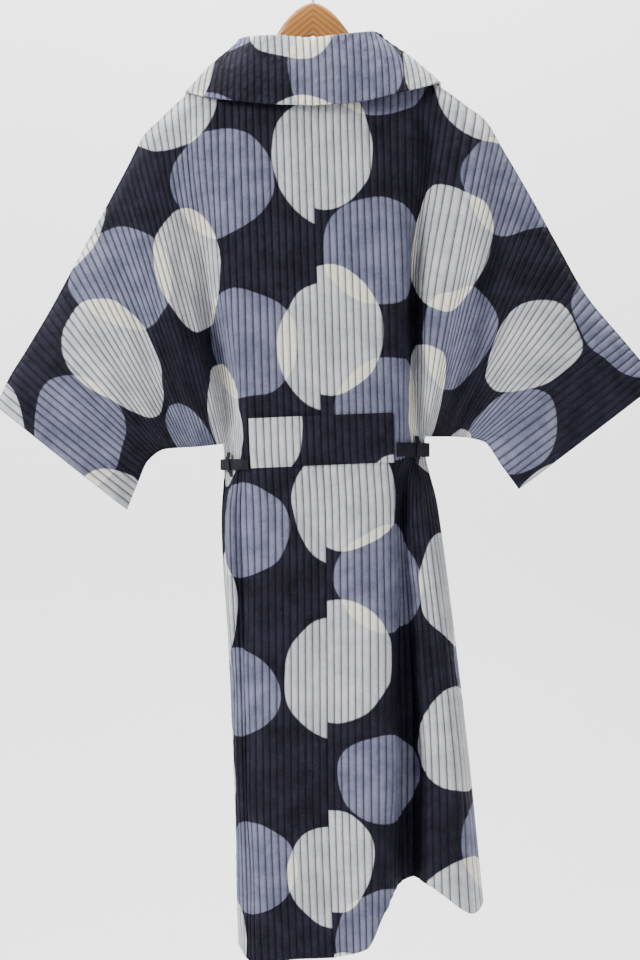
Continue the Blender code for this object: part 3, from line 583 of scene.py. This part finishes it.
# Wrinkles of one panel each. side, face, channel and row at the start and at the end,
# half width and height in millimetres; a negative height is a trough
WRINKLES = (
    ("right", "back", 28, 0.10, 20, 0.75, 16, 2.0), ("right", "back", 34, 0.16, 26, 0.95, 14, -1.6),
    ("right", "back", 46, 0.2, 36, 1.0, 20, 2.4), ("right", "back", 52, 0.1, 45, 0.9, 15, -1.8),
    ("left", "back", 27, 0.12, 19, 0.8, 14, -1.8), ("left", "back", 34, 0.2, 22, 0.95, 17, 2.4),
    ("left", "back", 40, 0.3, 29, 1.0, 12, -1.8), ("left", "back", 48, 0.15, 41, 0.95, 17, 2.2),
    ("left", "back", 3, 0.1, 9, 0.9, 18, -1.2), ("right", "back", 4, 0.05, 8, 0.85, 20, 1.4),
    ("right", "back", 6, 1.15, 4, 2.0, 24, 2.0), ("left", "back", 4, 1.2, 7, 2.0, 22, -1.8),
    ("left", "back", 15, 1.1, 16, 1.9, 9, 1.4), ("right", "back", 18, 1.1, 19, 1.95, 14, -1.6),
    ("right", "front", 30, 0.15, 24, 0.9, 16, 2.2), ("left", "front", 32, 0.15, 24, 0.9, 16, 2.2),
    ("right", "front", 44, 0.2, 36, 1.0, 18, -1.8), ("left", "front", 46, 0.2, 37, 1.0, 18, -1.8),
    ("right", "front", 6, 1.15, 8, 2.0, 22, 2.0), ("left", "front", 7, 1.2, 5, 2.0, 24, -2.0),
)
PRINT_SHIFT = {("back", "left"): (20 * PITCH, 0.022), ("back", "right"): (20 * PITCH, 0.0),
               ("front", "left"): (57 * PITCH, 0.09), ("front", "right"): (83 * PITCH, 0.05)}
PUCKER = 0.62 * MM           # height of the puckers between two sewn lines
STILL = 0.024                # cloth this near to a seam has no wrinkles of its own


def puckers(columns, lengths):
    """Small uneven puckers, running slantwise over each channel."""
    index = np.floor(columns).astype(int)
    share = columns - index
    total = np.zeros(lengths.shape)
    for wave, height in ((0.0118, 0.8), (0.0187, 0.9), (0.031, 0.7)):
        phase = rng.uniform(0, 2 * math.pi, 240)[index + 110]
        total += height * np.sin((lengths + share * 0.011) * 2 * math.pi / wave + phase)
    return total / 2.4 * np.sin(math.pi * share) * PUCKER


def wrinkle(side, face, channels, rows, lengths, distance):
    """Height of the panel's own soft wrinkles, none close to its seams."""
    total = np.zeros(lengths.shape)
    u = (channels * PITCH)[None, :]
    seed = {"left": 0.0, "right": 1.7}[side] + {"back": 0.0, "front": 2.9}[face]
    for wave_u, wave_v, height in ((0.083, 0.34, 0.9), (0.121, -0.21, 0.8), (0.052, 0.17, 0.45)):
        total += height * MM * np.sin(2 * math.pi * (u / wave_u + lengths / wave_v) + seed * 5)
    for hand, where, c0, r0, c1, r1, half, height in WRINKLES:
        if (hand, where) != (side, face):
            continue
        along = np.clip((rows - r0) / (r1 - r0), 0, 1)[:, None]
        reach = np.sin(np.clip((rows[:, None] - r0) / (r1 - r0), 0, 1) * math.pi) ** 0.6
        across = (channels[None, :] - (c0 + (c1 - c0) * along)) * PITCH / (half * MM)
        total += height * MM * reach * np.exp(-across ** 2)
    belted = (1 - smooth(0.06, 0.12, np.abs(rows - 1.03)))[:, None] * (channels < 25)[None, :]
    return total * smooth(0.006, STILL + 0.03, distance) * (1 - belted)


def panel_grid(side, face):
    """The panel's columns, rows, wall middle, outward directions, lengths and channel heights."""
    channels = np.arange(CUFF * ACROSS + 1) / ACROSS
    upper = np.linspace(0, 1, int(0.5 / ROW_STEP))
    lower = np.linspace(1, 2, int(0.69 / ROW_STEP))[1:]
    rows = np.concatenate([upper, lower])
    points = middle(side, face, channels, rows)
    out = -1.0 if face == "back" else 1.0
    normals = grid_normals(points, np.array((0.0, out, 0.0)))
    steps = np.linalg.norm(np.diff(points, axis=0), axis=-1)
    run = np.concatenate([np.zeros((1, len(channels))), np.cumsum(steps, axis=0)])
    waist = len(upper) - 1
    lengths = run[waist] - run
    to_top = np.hypot(run, np.maximum(NECK - channels, 0) * PITCH)
    to_side = np.hypot(np.maximum(SIDE - channels, 0) * PITCH, np.maximum(lengths, 0))
    distance = np.minimum(to_top, to_side)
    distance = np.minimum(distance, channels[None, :] * PITCH)
    hold = 1 - smooth(0.0, 0.014, np.minimum(to_top, to_side))[..., None]
    centre = (1 - smooth(0.0, 2.0, channels))[None, :, None]
    normals = unit(normals * (1 - hold) + np.array((0.0, out, 0.0)) * hold)
    normals[..., 0:1] *= 1 - centre
    normals = unit(normals)
    wide = np.linalg.norm(np.gradient(points, axis=1)[..., :2], axis=-1) * ACROSS
    crown = np.sin(math.pi * (channels % 1)) ** 0.7 * np.minimum(1.0, wide / PITCH)
    crown[:, channels % 1 == 0] = 0.0
    return channels, rows, points, normals, lengths, distance, crown


def panel(side, face):
    channels, rows, points, normals, lengths, distance, crown = panel_grid(side, face)
    points = points + normals * wrinkle(side, face, channels, rows, lengths, distance)[..., None]
    lift = CLOTH / 2 + RISE * crown + puckers(channels, lengths) * np.minimum(1, crown)
    cells = np.ones((len(rows) - 1, len(channels) - 1), bool)
    cells[rows[:-1] >= 1.0, SIDE * ACROSS:] = False
    hand = -1.0 if side == "left" else 1.0
    shift = PRINT_SHIFT[face, side]
    uv = np.stack([np.broadcast_to(channels * PITCH * hand, lengths.shape) + shift[0],
                   lengths + shift[1]], -1)
    piece = wall(f"{face}_{side}_quilted", points + normals * lift[..., None],
                 points - normals * CLOTH / 2, cells, uv, (PRINT, LINING))
    return settle(piece, "quilted_cloth", f"{face}_{side}_with_sleeve")


def neck_edge(side, channel):
    """The panels' neck edge beside one channel of the collar, with the panel's name."""
    if channel <= SHOULDER_CHANNEL:
        face, place = "back", max(NECK * channel / SHOULDER_CHANNEL, 0.001)
    else:
        rest = (COLLAR_END - channel) / (COLLAR_END - SHOULDER_CHANNEL)
        face, place = "front", FRONT_NECK_END + (NECK - FRONT_NECK_END) * rest
    edge, below = middle(side, face, [place], [0.0, 0.03])[:, 0]
    if abs(channel - SHOULDER_CHANNEL) < 0.01:
        edge[1] = 0.0
    return edge, below


def collar_stations(side, channel):
    """Six points across the collar: foot, stand, fold, fall, belly and edge."""
    table = np.array(COLLAR_LINES[side], float)
    values = curve(table[:, 0], table[:, 1:], [channel])[0] * MM
    hand = -1 if side == "left" else 1
    edge, below = neck_edge(side, channel)
    run = neck_edge(side, min(channel + 1, COLLAR_END))[0] - neck_edge(side, max(channel - 1, 0))[0]
    run /= np.linalg.norm(run)
    away = edge - below
    away -= run * (away @ run)
    turned = np.array((-hand * min(1.0, max(0.0, (channel - SHOULDER_CHANNEL) * 2)), 0.0, 1.0))
    near = smooth(SHOULDER_TURN + 1.2, SHOULDER_TURN - 0.4, abs(channel - SHOULDER_CHANNEL))
    away = unit(unit(away) * (1 - near) + unit(turned) * near)
    clear = curve((0, 10, 17, 18, 20, 24, COLLAR_END),
                  (FOOT_CLEAR, FOOT_CLEAR, FOOT_CLEAR_ROUND, 2 * FOOT_CLEAR_ROUND,
                   1.5 * FOOT_CLEAR_ROUND, FOOT_CLEAR_ROUND, 2 * FOOT_CLEAR), [channel])[0]
    foot = edge + away * clear
    fold = edge + np.array((hand * values[0], values[1], values[2]))
    free = values[3:]
    run = neck_edge(side, min(channel + 2, COLLAR_END))[0] - neck_edge(side, max(channel - 2, 0))[0]
    run *= min(1.0, max(0.0, (channel - SHOULDER_CHANNEL) / 5)) / np.linalg.norm(run)
    out = free - fold
    out[2] = 0.0
    out = unit(out - run * (out @ run))
    down = np.array((0.0, 0.0, -1.0))
    down = unit(down - run * (down @ run)) * 7.0 * MM
    fall = fold + out * FOLD_HALF + down * 0.8
    return (foot, fold - out * FOLD_HALF + down, fold, fall, (fall + free) / 2 + out * 4 * MM, free)


COLLAR_COLUMNS = 561         # odd, so that one lies on the centre back


def collar():
    columns = np.linspace(-COLLAR_END, COLLAR_END, COLLAR_COLUMNS)
    stations = np.stack([collar_stations("left" if c < 0 else "right", abs(c)) for c in columns], 1)
    parts = ((0, 1, 9), (1, 2, 7), (2, 3, 7), (3, 4, 17), (4, 5, 17))
    rows = np.concatenate([np.linspace(a, b, n)[:-1] for a, b, n in parts] + [[5.0]])
    points = curve(range(6), stations, rows)
    normals = grid_normals(points[-12:], points[-12:] * np.array((1.0, 1.0, 0.0)))
    square = unit(np.cross(np.gradient(points, axis=1), np.gradient(points, axis=0)))
    normals = square * np.sign((square[-12:] * normals).sum())
    steps = np.linalg.norm(np.diff(points, axis=0), axis=-1)
    lengths = np.concatenate([np.zeros((1, len(columns))), np.cumsum(steps, axis=0)])
    apart = np.linalg.norm(np.diff(points, axis=1), axis=-1)
    across = np.concatenate([np.zeros((len(rows), 1)), np.cumsum(apart, axis=1)], axis=1)
    across -= across[:, COLLAR_COLUMNS // 2][:, None]
    crown = np.sin(math.pi * ((across / PITCH) % 1)) ** 0.7
    shown = smooth(1.6, 2.4, rows)[:, None]
    lift = COLLAR_CLOTH / 2 + (RISE * crown + puckers(across / PITCH, lengths)) * shown
    uv = np.stack([across + 44 * PITCH, lengths + 0.052], -1)
    cells = np.ones((len(rows) - 1, len(columns) - 1), bool)
    piece = wall("collar_quilted", points + normals * lift[..., None],
                 points - normals * COLLAR_CLOTH / 2, cells, uv, (PRINT, LINING))
    return settle(piece, "quilted_cloth", "collar")


SMOOTH_GAP = 0.5 * MM        # a laid piece's inside above the channels' crowns
OVER_CROWNS = CLOTH / 2 + RISE + SMOOTH_GAP


def laid(side, face, channel, heights, off=0.0):
    """Points over the panel's outside at one channel and some heights."""
    places, _, zs, _ = UPPER[side, face]
    top, foot = curve(places, zs, [channel])[0] * MM
    places, _, hem, _ = LOWER[side]
    low = curve(places, hem, [min(channel, SIDE)])[0] * MM
    heights = np.asarray(heights, float)
    rows = np.where(heights >= foot, (heights - top) / (foot - top),
                    1 + (heights - foot) / (low - foot))
    columns = [max(channel - 0.3, 0.02), channel, min(channel + 0.3, SIDE)]
    strip = np.stack([middle(side, face, columns, [r - 0.01, r, r + 0.01]) for r in rows])
    out = -1.0 if face == "back" else 1.0
    across, down = strip[:, 1, 2] - strip[:, 1, 0], strip[:, 2, 1] - strip[:, 0, 1]
    square = unit(np.cross(across, down))
    square *= np.sign(square[:, 1:2]) * out
    return strip[:, 1, 1] + square * off


# Back waist band
BAND_CLOTH = 2.4 * MM
BAND_ENDS = (-10, 10)
BAND_TOPS = (-626 * MM, -618 * MM)
BAND_HEIGHT = 67 * MM


def band_edge(column, share):
    way = (column - BAND_ENDS[0]) / (BAND_ENDS[1] - BAND_ENDS[0])
    return BAND_TOPS[0] + (BAND_TOPS[1] - BAND_TOPS[0]) * way - BAND_HEIGHT * share


def waist_band():
    columns = np.arange(BAND_ENDS[0] * ACROSS, BAND_ENDS[1] * ACROSS + 1) / ACROSS
    shares = np.concatenate([[0, 0.012], np.linspace(0.03, 0.97, 19), [0.988, 1]])
    points = np.stack([laid("left" if c < 0 else "right", "back", abs(c), band_edge(c, shares))
                       for c in columns], 1)
    normals = grid_normals(points, np.array((0.0, -1.0, 0.0)))
    crown = np.sin(math.pi * (np.abs(columns) % 1)) ** 0.7
    crown[np.abs(columns) % 1 == 0] = 0.0
    heights = np.broadcast_to((-shares * BAND_HEIGHT)[:, None], points.shape[:2])
    press = smooth(0, 0.05, np.minimum(shares, 1 - shares))[:, None]
    side = smooth(0, 0.35, columns - BAND_ENDS[0]) * smooth(0, 0.35, BAND_ENDS[1] - columns)
    press = press * side[None, :]
    lift = OVER_CROWNS + BAND_CLOTH * (0.45 + 0.55 * press)
    lift = lift + (RISE * crown[None, :] + puckers(columns, heights)) * press
    uv = np.stack([np.broadcast_to(columns * PITCH, heights.shape) + 31 * PITCH, heights + 0.4], -1)
    cells = np.ones((len(shares) - 1, len(columns) - 1), bool)
    piece = wall("waist_band_quilted", points + normals * lift[..., None],
                 points + normals * OVER_CROWNS, cells, uv, (PRINT, LINING))
    return settle(piece, "quilted_cloth", "back_waist_band")


def sweep(name, centres, sides, ups, widths, thicks, material, corners=16, square=0.35):
    """A strap or rod through its centres; sides and ups span each section."""
    angles = 2 * math.pi * (np.arange(corners) + 0.5) / corners
    cross = np.sign(np.cos(angles)) * np.abs(np.cos(angles)) ** square
    tall = np.sign(np.sin(angles)) * np.abs(np.sin(angles)) ** square
    widths, thicks = np.broadcast_to(widths, len(centres)), np.broadcast_to(thicks, len(centres))
    rings = [c + np.outer(cross * t / 2, s) + np.outer(tall * w / 2, u)
             for c, s, u, w, t in zip(centres, sides, ups, widths, thicks)]
    points = np.concatenate(rings)
    faces = []
    for r in range(len(rings) - 1):
        for k in range(corners):
            after = (k + 1) % corners
            faces.append([r * corners + k, r * corners + after,
                          (r + 1) * corners + after, (r + 1) * corners + k])
    faces += [list(range(corners))[::-1], [len(points) - corners + k for k in range(corners)]]
    item = add_mesh(name, points, faces, (material,), sharp=60)
    return tidy_normals(item)


def tidy_normals(item):
    """Merges doubles and points every face outwards."""
    import bmesh
    shape = bmesh.new()
    shape.from_mesh(item.data)
    bmesh.ops.remove_doubles(shape, verts=shape.verts[:], dist=1e-6)
    bmesh.ops.recalc_face_normals(shape, faces=shape.faces[:])
    shape.to_mesh(item.data)
    shape.free()
    item.data.shade_smooth()
    item.data.set_sharp_from_angle(angle=math.radians(60))
    return item


# Narrow belt: from each end of the band round the side to a knot in front
BELT = {"left": (10.3, -688 * MM, 15 * MM), "right": (10.4, -668 * MM, 19 * MM)}
BELT_FRONT_Z = -680 * MM
BELT_THICKNESS = 2.2 * MM
KNOT_X, KNOT_Z, KNOT_HALF = 14 * MM, -680 * MM, 17 * MM
BELT_OFF = OVER_CROWNS + BELT_THICKNESS / 2 + 0.5 * MM


def hull_path(points, hand):
    """The points that a tight belt round their outer side touches, from back to front."""
    chain = []
    for point in sorted(points, key=lambda p: p[1]):
        while len(chain) > 1:
            a, b = chain[-1] - chain[-2], point - chain[-1]
            if (a[0] * b[1] - a[1] * b[0]) * hand > 0:
                break
            chain.pop()
        chain.append(point)
    return chain


def belt_route(side):
    start, height, width = BELT[side]
    hand = -1 if side == "left" else 1
    marks = []
    for face in ("back", "front"):
        for channel in np.arange(start if face == "back" else 2.0, SIDE + 0.01, 0.5):
            edges = (height + width / 2, height - width / 2)
            for point in laid(side, face, channel, edges, BELT_OFF):
                marks.append(point[:2])
            if channel > SIDE - 0.4:
                seam = laid(side, face, SIDE, edges, 0.0)
                marks += [np.array((p[0] + hand * BELT_OFF, 0.0)) for p in seam]
    chain = hull_path(marks, hand)
    stop = KNOT_X + hand * KNOT_HALF * 0.8
    chain = [p for p in chain if p[1] < 0.03 or hand * (p[0] - stop) > 0.012]
    chain.append(np.array((stop, chain[-1][1])))
    line = np.array(chain)
    keep = [0]
    for k in range(1, len(line)):
        if np.linalg.norm(line[k] - line[keep[-1]]) > 0.004:
            keep.append(k)
    line = line[keep]
    far = np.concatenate([[0], np.cumsum(np.linalg.norm(np.diff(line, axis=0), axis=1))])
    at = np.linspace(0, far[-1], 90)
    flat = np.stack([np.interp(at, far, line[:, k]) for k in range(2)], 1)
    share = smooth(0.35, 1.0, at / far[-1])
    z = height + (BELT_FRONT_Z - height) * share
    route = np.column_stack([flat, z])
    run = unit(np.gradient(route, axis=0))
    outward = unit(np.column_stack([run[:, 1], -run[:, 0], np.zeros(len(run))]))
    outward *= np.sign((outward[:, :2] * route[:, :2]).sum(1))[:, None]
    return route, outward


def belt(side):
    route, outward = belt_route(side)
    up = np.tile((0.0, 0.0, 1.0), (len(route), 1))
    width = BELT[side][2] * (1 + 0.03 * np.sin(np.arange(len(route)) * 0.9))
    piece = sweep(f"belt_{side}_cloth", route, outward, up, width, BELT_THICKNESS, BELT_CLOTH)
    return settle(piece, "belt_cloth", f"belt_{side}")


def belt_loop(side):
    """A narrow strap stitched to the coat above and below the belt."""
    route, outward = belt_route(side)
    k = 16
    point, out = route[k], outward[k]
    run = np.cross(out, (0.0, 0.0, 1.0))
    half = BELT[side][2] / 2
    proud = 2.4 * MM
    shape = ((half + 9 * MM, -0.8 * MM), (half + 4 * MM, 0.3 * MM), (half + 1 * MM, proud * 0.85),
             (half * 0.5, proud), (0.0, proud), (-half * 0.5, proud), (-half - 1 * MM, proud * 0.85),
             (-half - 4 * MM, 0.3 * MM), (-half - 9 * MM, -0.8 * MM))
    shape = curve(range(len(shape)), np.array(shape), np.linspace(0, len(shape) - 1, 41))
    lean = 0.25 if side == "left" else 0.0
    centres = np.array([point + out * off + np.array((0, 0, z)) + run * z * lean for z, off in shape])
    along = unit(np.gradient(centres, axis=0))
    widths = np.tile(run, (len(centres), 1))
    sides = unit(np.cross(along, widths))
    piece = sweep(f"belt_loop_{side}_cloth", centres, sides, widths, 8.5 * MM, 1.6 * MM, BELT_CLOTH)
    return settle(piece, "belt_cloth", f"belt_loop_{side}")


def front_face(channel, height, off):
    return laid("right", "front", channel, [height], off)[0]


def belt_knot():
    """The tied knot: a puffed wrap with folds that run into its sides."""
    front = front_face(1.0, KNOT_Z, OVER_CROWNS)[1]
    around, up = 72, 40
    points = []
    for i in range(up + 1):
        lat = math.pi * (i / up - 0.5)
        for j in range(around):
            lon = 2 * math.pi * j / around
            x, y, z = math.cos(lat) * math.sin(lon), math.cos(lat) * math.cos(lon), math.sin(lat)
            fold = 0.07 * math.sin(9 * z + 2.2 * x * x + 1.3) * (1 - x * x)
            fold -= 0.16 * math.exp(-((x - 0.35 * z - 0.1) / 0.13) ** 2) * max(y, 0)
            grow = 1 + fold
            box = (abs(x) ** 3 + abs(y) ** 3 + abs(z) ** 3) ** (-1 / 3)
            points.append((KNOT_X + x * grow * box * 16.2 * MM,
                           front + (8.8 * MM + y * grow * box * 8.8 * MM),
                           KNOT_Z + z * grow * box * 13.4 * MM))
    faces = [[i * around + j, i * around + (j + 1) % around,
              (i + 1) * around + (j + 1) % around, (i + 1) * around + j]
             for i in range(up) for j in range(around)]
    item = tidy_normals(add_mesh("belt_knot_cloth", points, faces, (BELT_CLOTH,)))
    return settle(item, "belt_cloth", "belt_knot")


BELT_ENDS = {"left": (2.2, 4.2, 150 * MM), "right": (1.4, 2.6, 175 * MM)}


def belt_end(side):
    start, stop, drop = BELT_ENDS[side]
    shares = np.linspace(0, 1, 46)
    centres = np.array([front_face(start + (stop - start) * s, KNOT_Z - 11 * MM - drop * s,
                                   OVER_CROWNS + 1.9 * MM) for s in shares])
    centres[:, 1] += 1.2 * MM * np.sin(shares * 7.0 + start) ** 2 * (1 - shares * 0.4)
    along = unit(np.gradient(centres, axis=0))
    widths = unit(np.cross(along, np.tile((0.0, 1.0, 0.0), (len(along), 1))))
    sides = unit(np.cross(along, widths))
    size = 17 * MM * (1 - 0.35 * np.exp(-(shares / 0.12) ** 2))
    piece = sweep(f"belt_end_{side}_cloth", centres, sides, widths, size, BELT_THICKNESS, BELT_CLOTH)
    return settle(piece, "belt_cloth", f"belt_end_{side}")


# Wooden hanger in two halves, mitred at the middle.
# x, top z, bottom z, half thickness, in millimetres
HANGER = (
    (0, -61, -107, 9), (8, -63, -110.5, 9), (17, -68, -115, 9), (30, -79, -122, 9),
    (44, -96, -134, 8.5), (58, -116, -148, 7), (70, -139.5, -161, 6), (83, -153.5, -172, 7.5),
    (100, -158.6, -177, 10.5), (130, -172, -189, 12), (165, -189.5, -204.5, 11),
    (190, -205.2, -216.5, 8), (200, -211.6, -218, 5),
)
HANGER_STEPS = 20
HANGER_SIDES = 10            # corners round an arm's section
HANGER_FLAT, HANGER_TALL = 0.55, 0.7    # how squared the section is, across and up
DROP_FROM, DROP_OVER = 40, 60           # the drop begins here and is full this much farther out
HANGER_DROP = {"left": 11.2 * MM, "right": 0 * MM}   # the left arm hangs with the lower shoulder



def hanger_half(side):
    hand = -1 if side == "left" else 1
    table = np.array(HANGER, float)
    x = np.concatenate([np.linspace(0, 196, 90), 200 - 4 * np.cos(np.linspace(0.6, 1.5, 8))])
    tops, bottoms, halves = curve(table[:, 0], table[:, 1:], x).T * MM
    drop = HANGER_DROP[side] * np.clip((x - DROP_FROM) / DROP_OVER, 0, 1)
    round_off = np.sqrt(np.clip((200.6 - x) / 8, 0.03, 1))
    tall, wide = (tops - bottoms) * round_off, halves * 2 * np.minimum(1, round_off * 1.05)
    centres = np.column_stack([hand * x * MM, np.zeros(len(x)), (tops + bottoms) / 2 - drop])
    sides = np.tile((0.0, 1.0, 0.0), (len(x), 1))
    ups = np.tile((0.0, 0.0, 1.0), (len(x), 1))
    piece = sweep(f"hanger_{side}_wood", centres, sides, ups, tall, wide, wood_finish(side), 36, 0.62)
    return settle(piece, "hanger_wood", f"hanger_{side}")


HOOK_WIRE = 2.0 * MM
HOOK_BEND = 22 * MM
HOOK_FOOT = -60.6 * MM


def hanger_hook():
    centre = HOOK_WIRE - HOOK_BEND
    route = [(0.0, 0.0, z) for z in np.linspace(HOOK_FOOT, HOOK_FOOT + 12 * MM, 5)]
    for angle in np.radians(np.linspace(-90, 200, 64)):
        route.append((HOOK_BEND * math.cos(angle), 0.0, centre + HOOK_BEND * math.sin(angle)))
    route = np.array(route)
    route[4:8, 0] = 0.0
    along = unit(np.gradient(route, axis=0))
    ups = unit(np.cross(along, np.tile((0.0, 1.0, 0.0), (len(route), 1))))
    sides = np.tile((0.0, 1.0, 0.0), (len(route), 1))
    piece = sweep("hanger_hook_wire", route, sides, ups, 2 * HOOK_WIRE, 2 * HOOK_WIRE,
                  steel_finish(), 20, 1.0)
    return settle(piece, "hook_steel", "hanger_hook")


PANELS = {(face, side): panel(side, face) for face in ("back", "front") for side in ("left", "right")}
COLLAR = collar()
BAND = waist_band()
for hand in ("left", "right"):
    belt(hand)
    belt_loop(hand)
    belt_end(hand)
    hanger_half(hand)
belt_knot()
hanger_hook()

# Room: a pale cove, soft lights, and the camera at the photograph's view
FRAME_SCALE = 1.35 * MM      # of the coat in one pixel of a 640 by 960 picture
FRAME_CENTRE = (7 * FRAME_SCALE, -0.02, -525 * FRAME_SCALE)
FRAME_TALL = 960 * FRAME_SCALE
CAMERA_AWAY = 5.0


def room():
    depth = [(-4.0, -1.62), (1.2, -1.62)]
    depth += [(1.2 + 0.8 * math.sin(a), -0.82 - 0.8 * math.cos(a)) for a in np.linspace(0, math.pi / 2, 13)]
    depth += [(2.0, 3.0)]
    points = [(x, y, z) for y, z in depth for x in (-5.0, 5.0)]
    faces = [[2 * k, 2 * k + 1, 2 * k + 3, 2 * k + 2] for k in range(len(depth) - 1)]
    finish = Finish("pale_floor", 0.9)
    tone = finish.noise(finish.place(), 2.0)
    finish.set("Base Color", finish.mix(tone, (0.88, 0.88, 0.88), (0.91, 0.91, 0.91)))
    floor = add_mesh("pale_floor", points, faces, (finish.material,))


def area_light(name, place, aim, size, power):
    data = bpy.data.lights.new(name, "AREA")
    data.shape, data.size, data.energy = "SQUARE", size, power
    item = bpy.data.objects.new(name, data)
    bpy.context.scene.collection.objects.link(item)
    item.location = place
    direction = np.array(place) - np.array(aim)
    flat = math.hypot(direction[0], direction[1])
    item.rotation_euler = (math.atan2(flat, direction[2]), 0.0,
                           math.atan2(direction[0], -direction[1]))


room()
area_light("window_light", (-2.9, -1.9, 1.2), (0, 0, -0.6), 1.3, 190)
area_light("fill_light", (2.8, -3.0, 0.2), (0, 0, -0.7), 2.4, 40)
area_light("wall_light", (0.0, 0.75, 1.9), (0, 2.0, -0.8), 2.2, 260)
world = bpy.data.worlds.new("room")
world.use_nodes = True
world.node_tree.nodes["Background"].inputs[0].default_value = (0.92, 0.95, 1.0, 1.0)
world.node_tree.nodes["Background"].inputs[1].default_value = 0.35
bpy.context.scene.world = world

camera = bpy.data.objects.new("camera", bpy.data.cameras.new("camera"))
camera.data.lens = camera.data.sensor_width * CAMERA_AWAY / FRAME_TALL
camera.location = (FRAME_CENTRE[0], FRAME_CENTRE[1] - CAMERA_AWAY, FRAME_CENTRE[2])
camera.rotation_euler = (math.pi / 2, 0.0, 0.0)
bpy.context.scene.collection.objects.link(camera)
bpy.context.scene.camera = camera
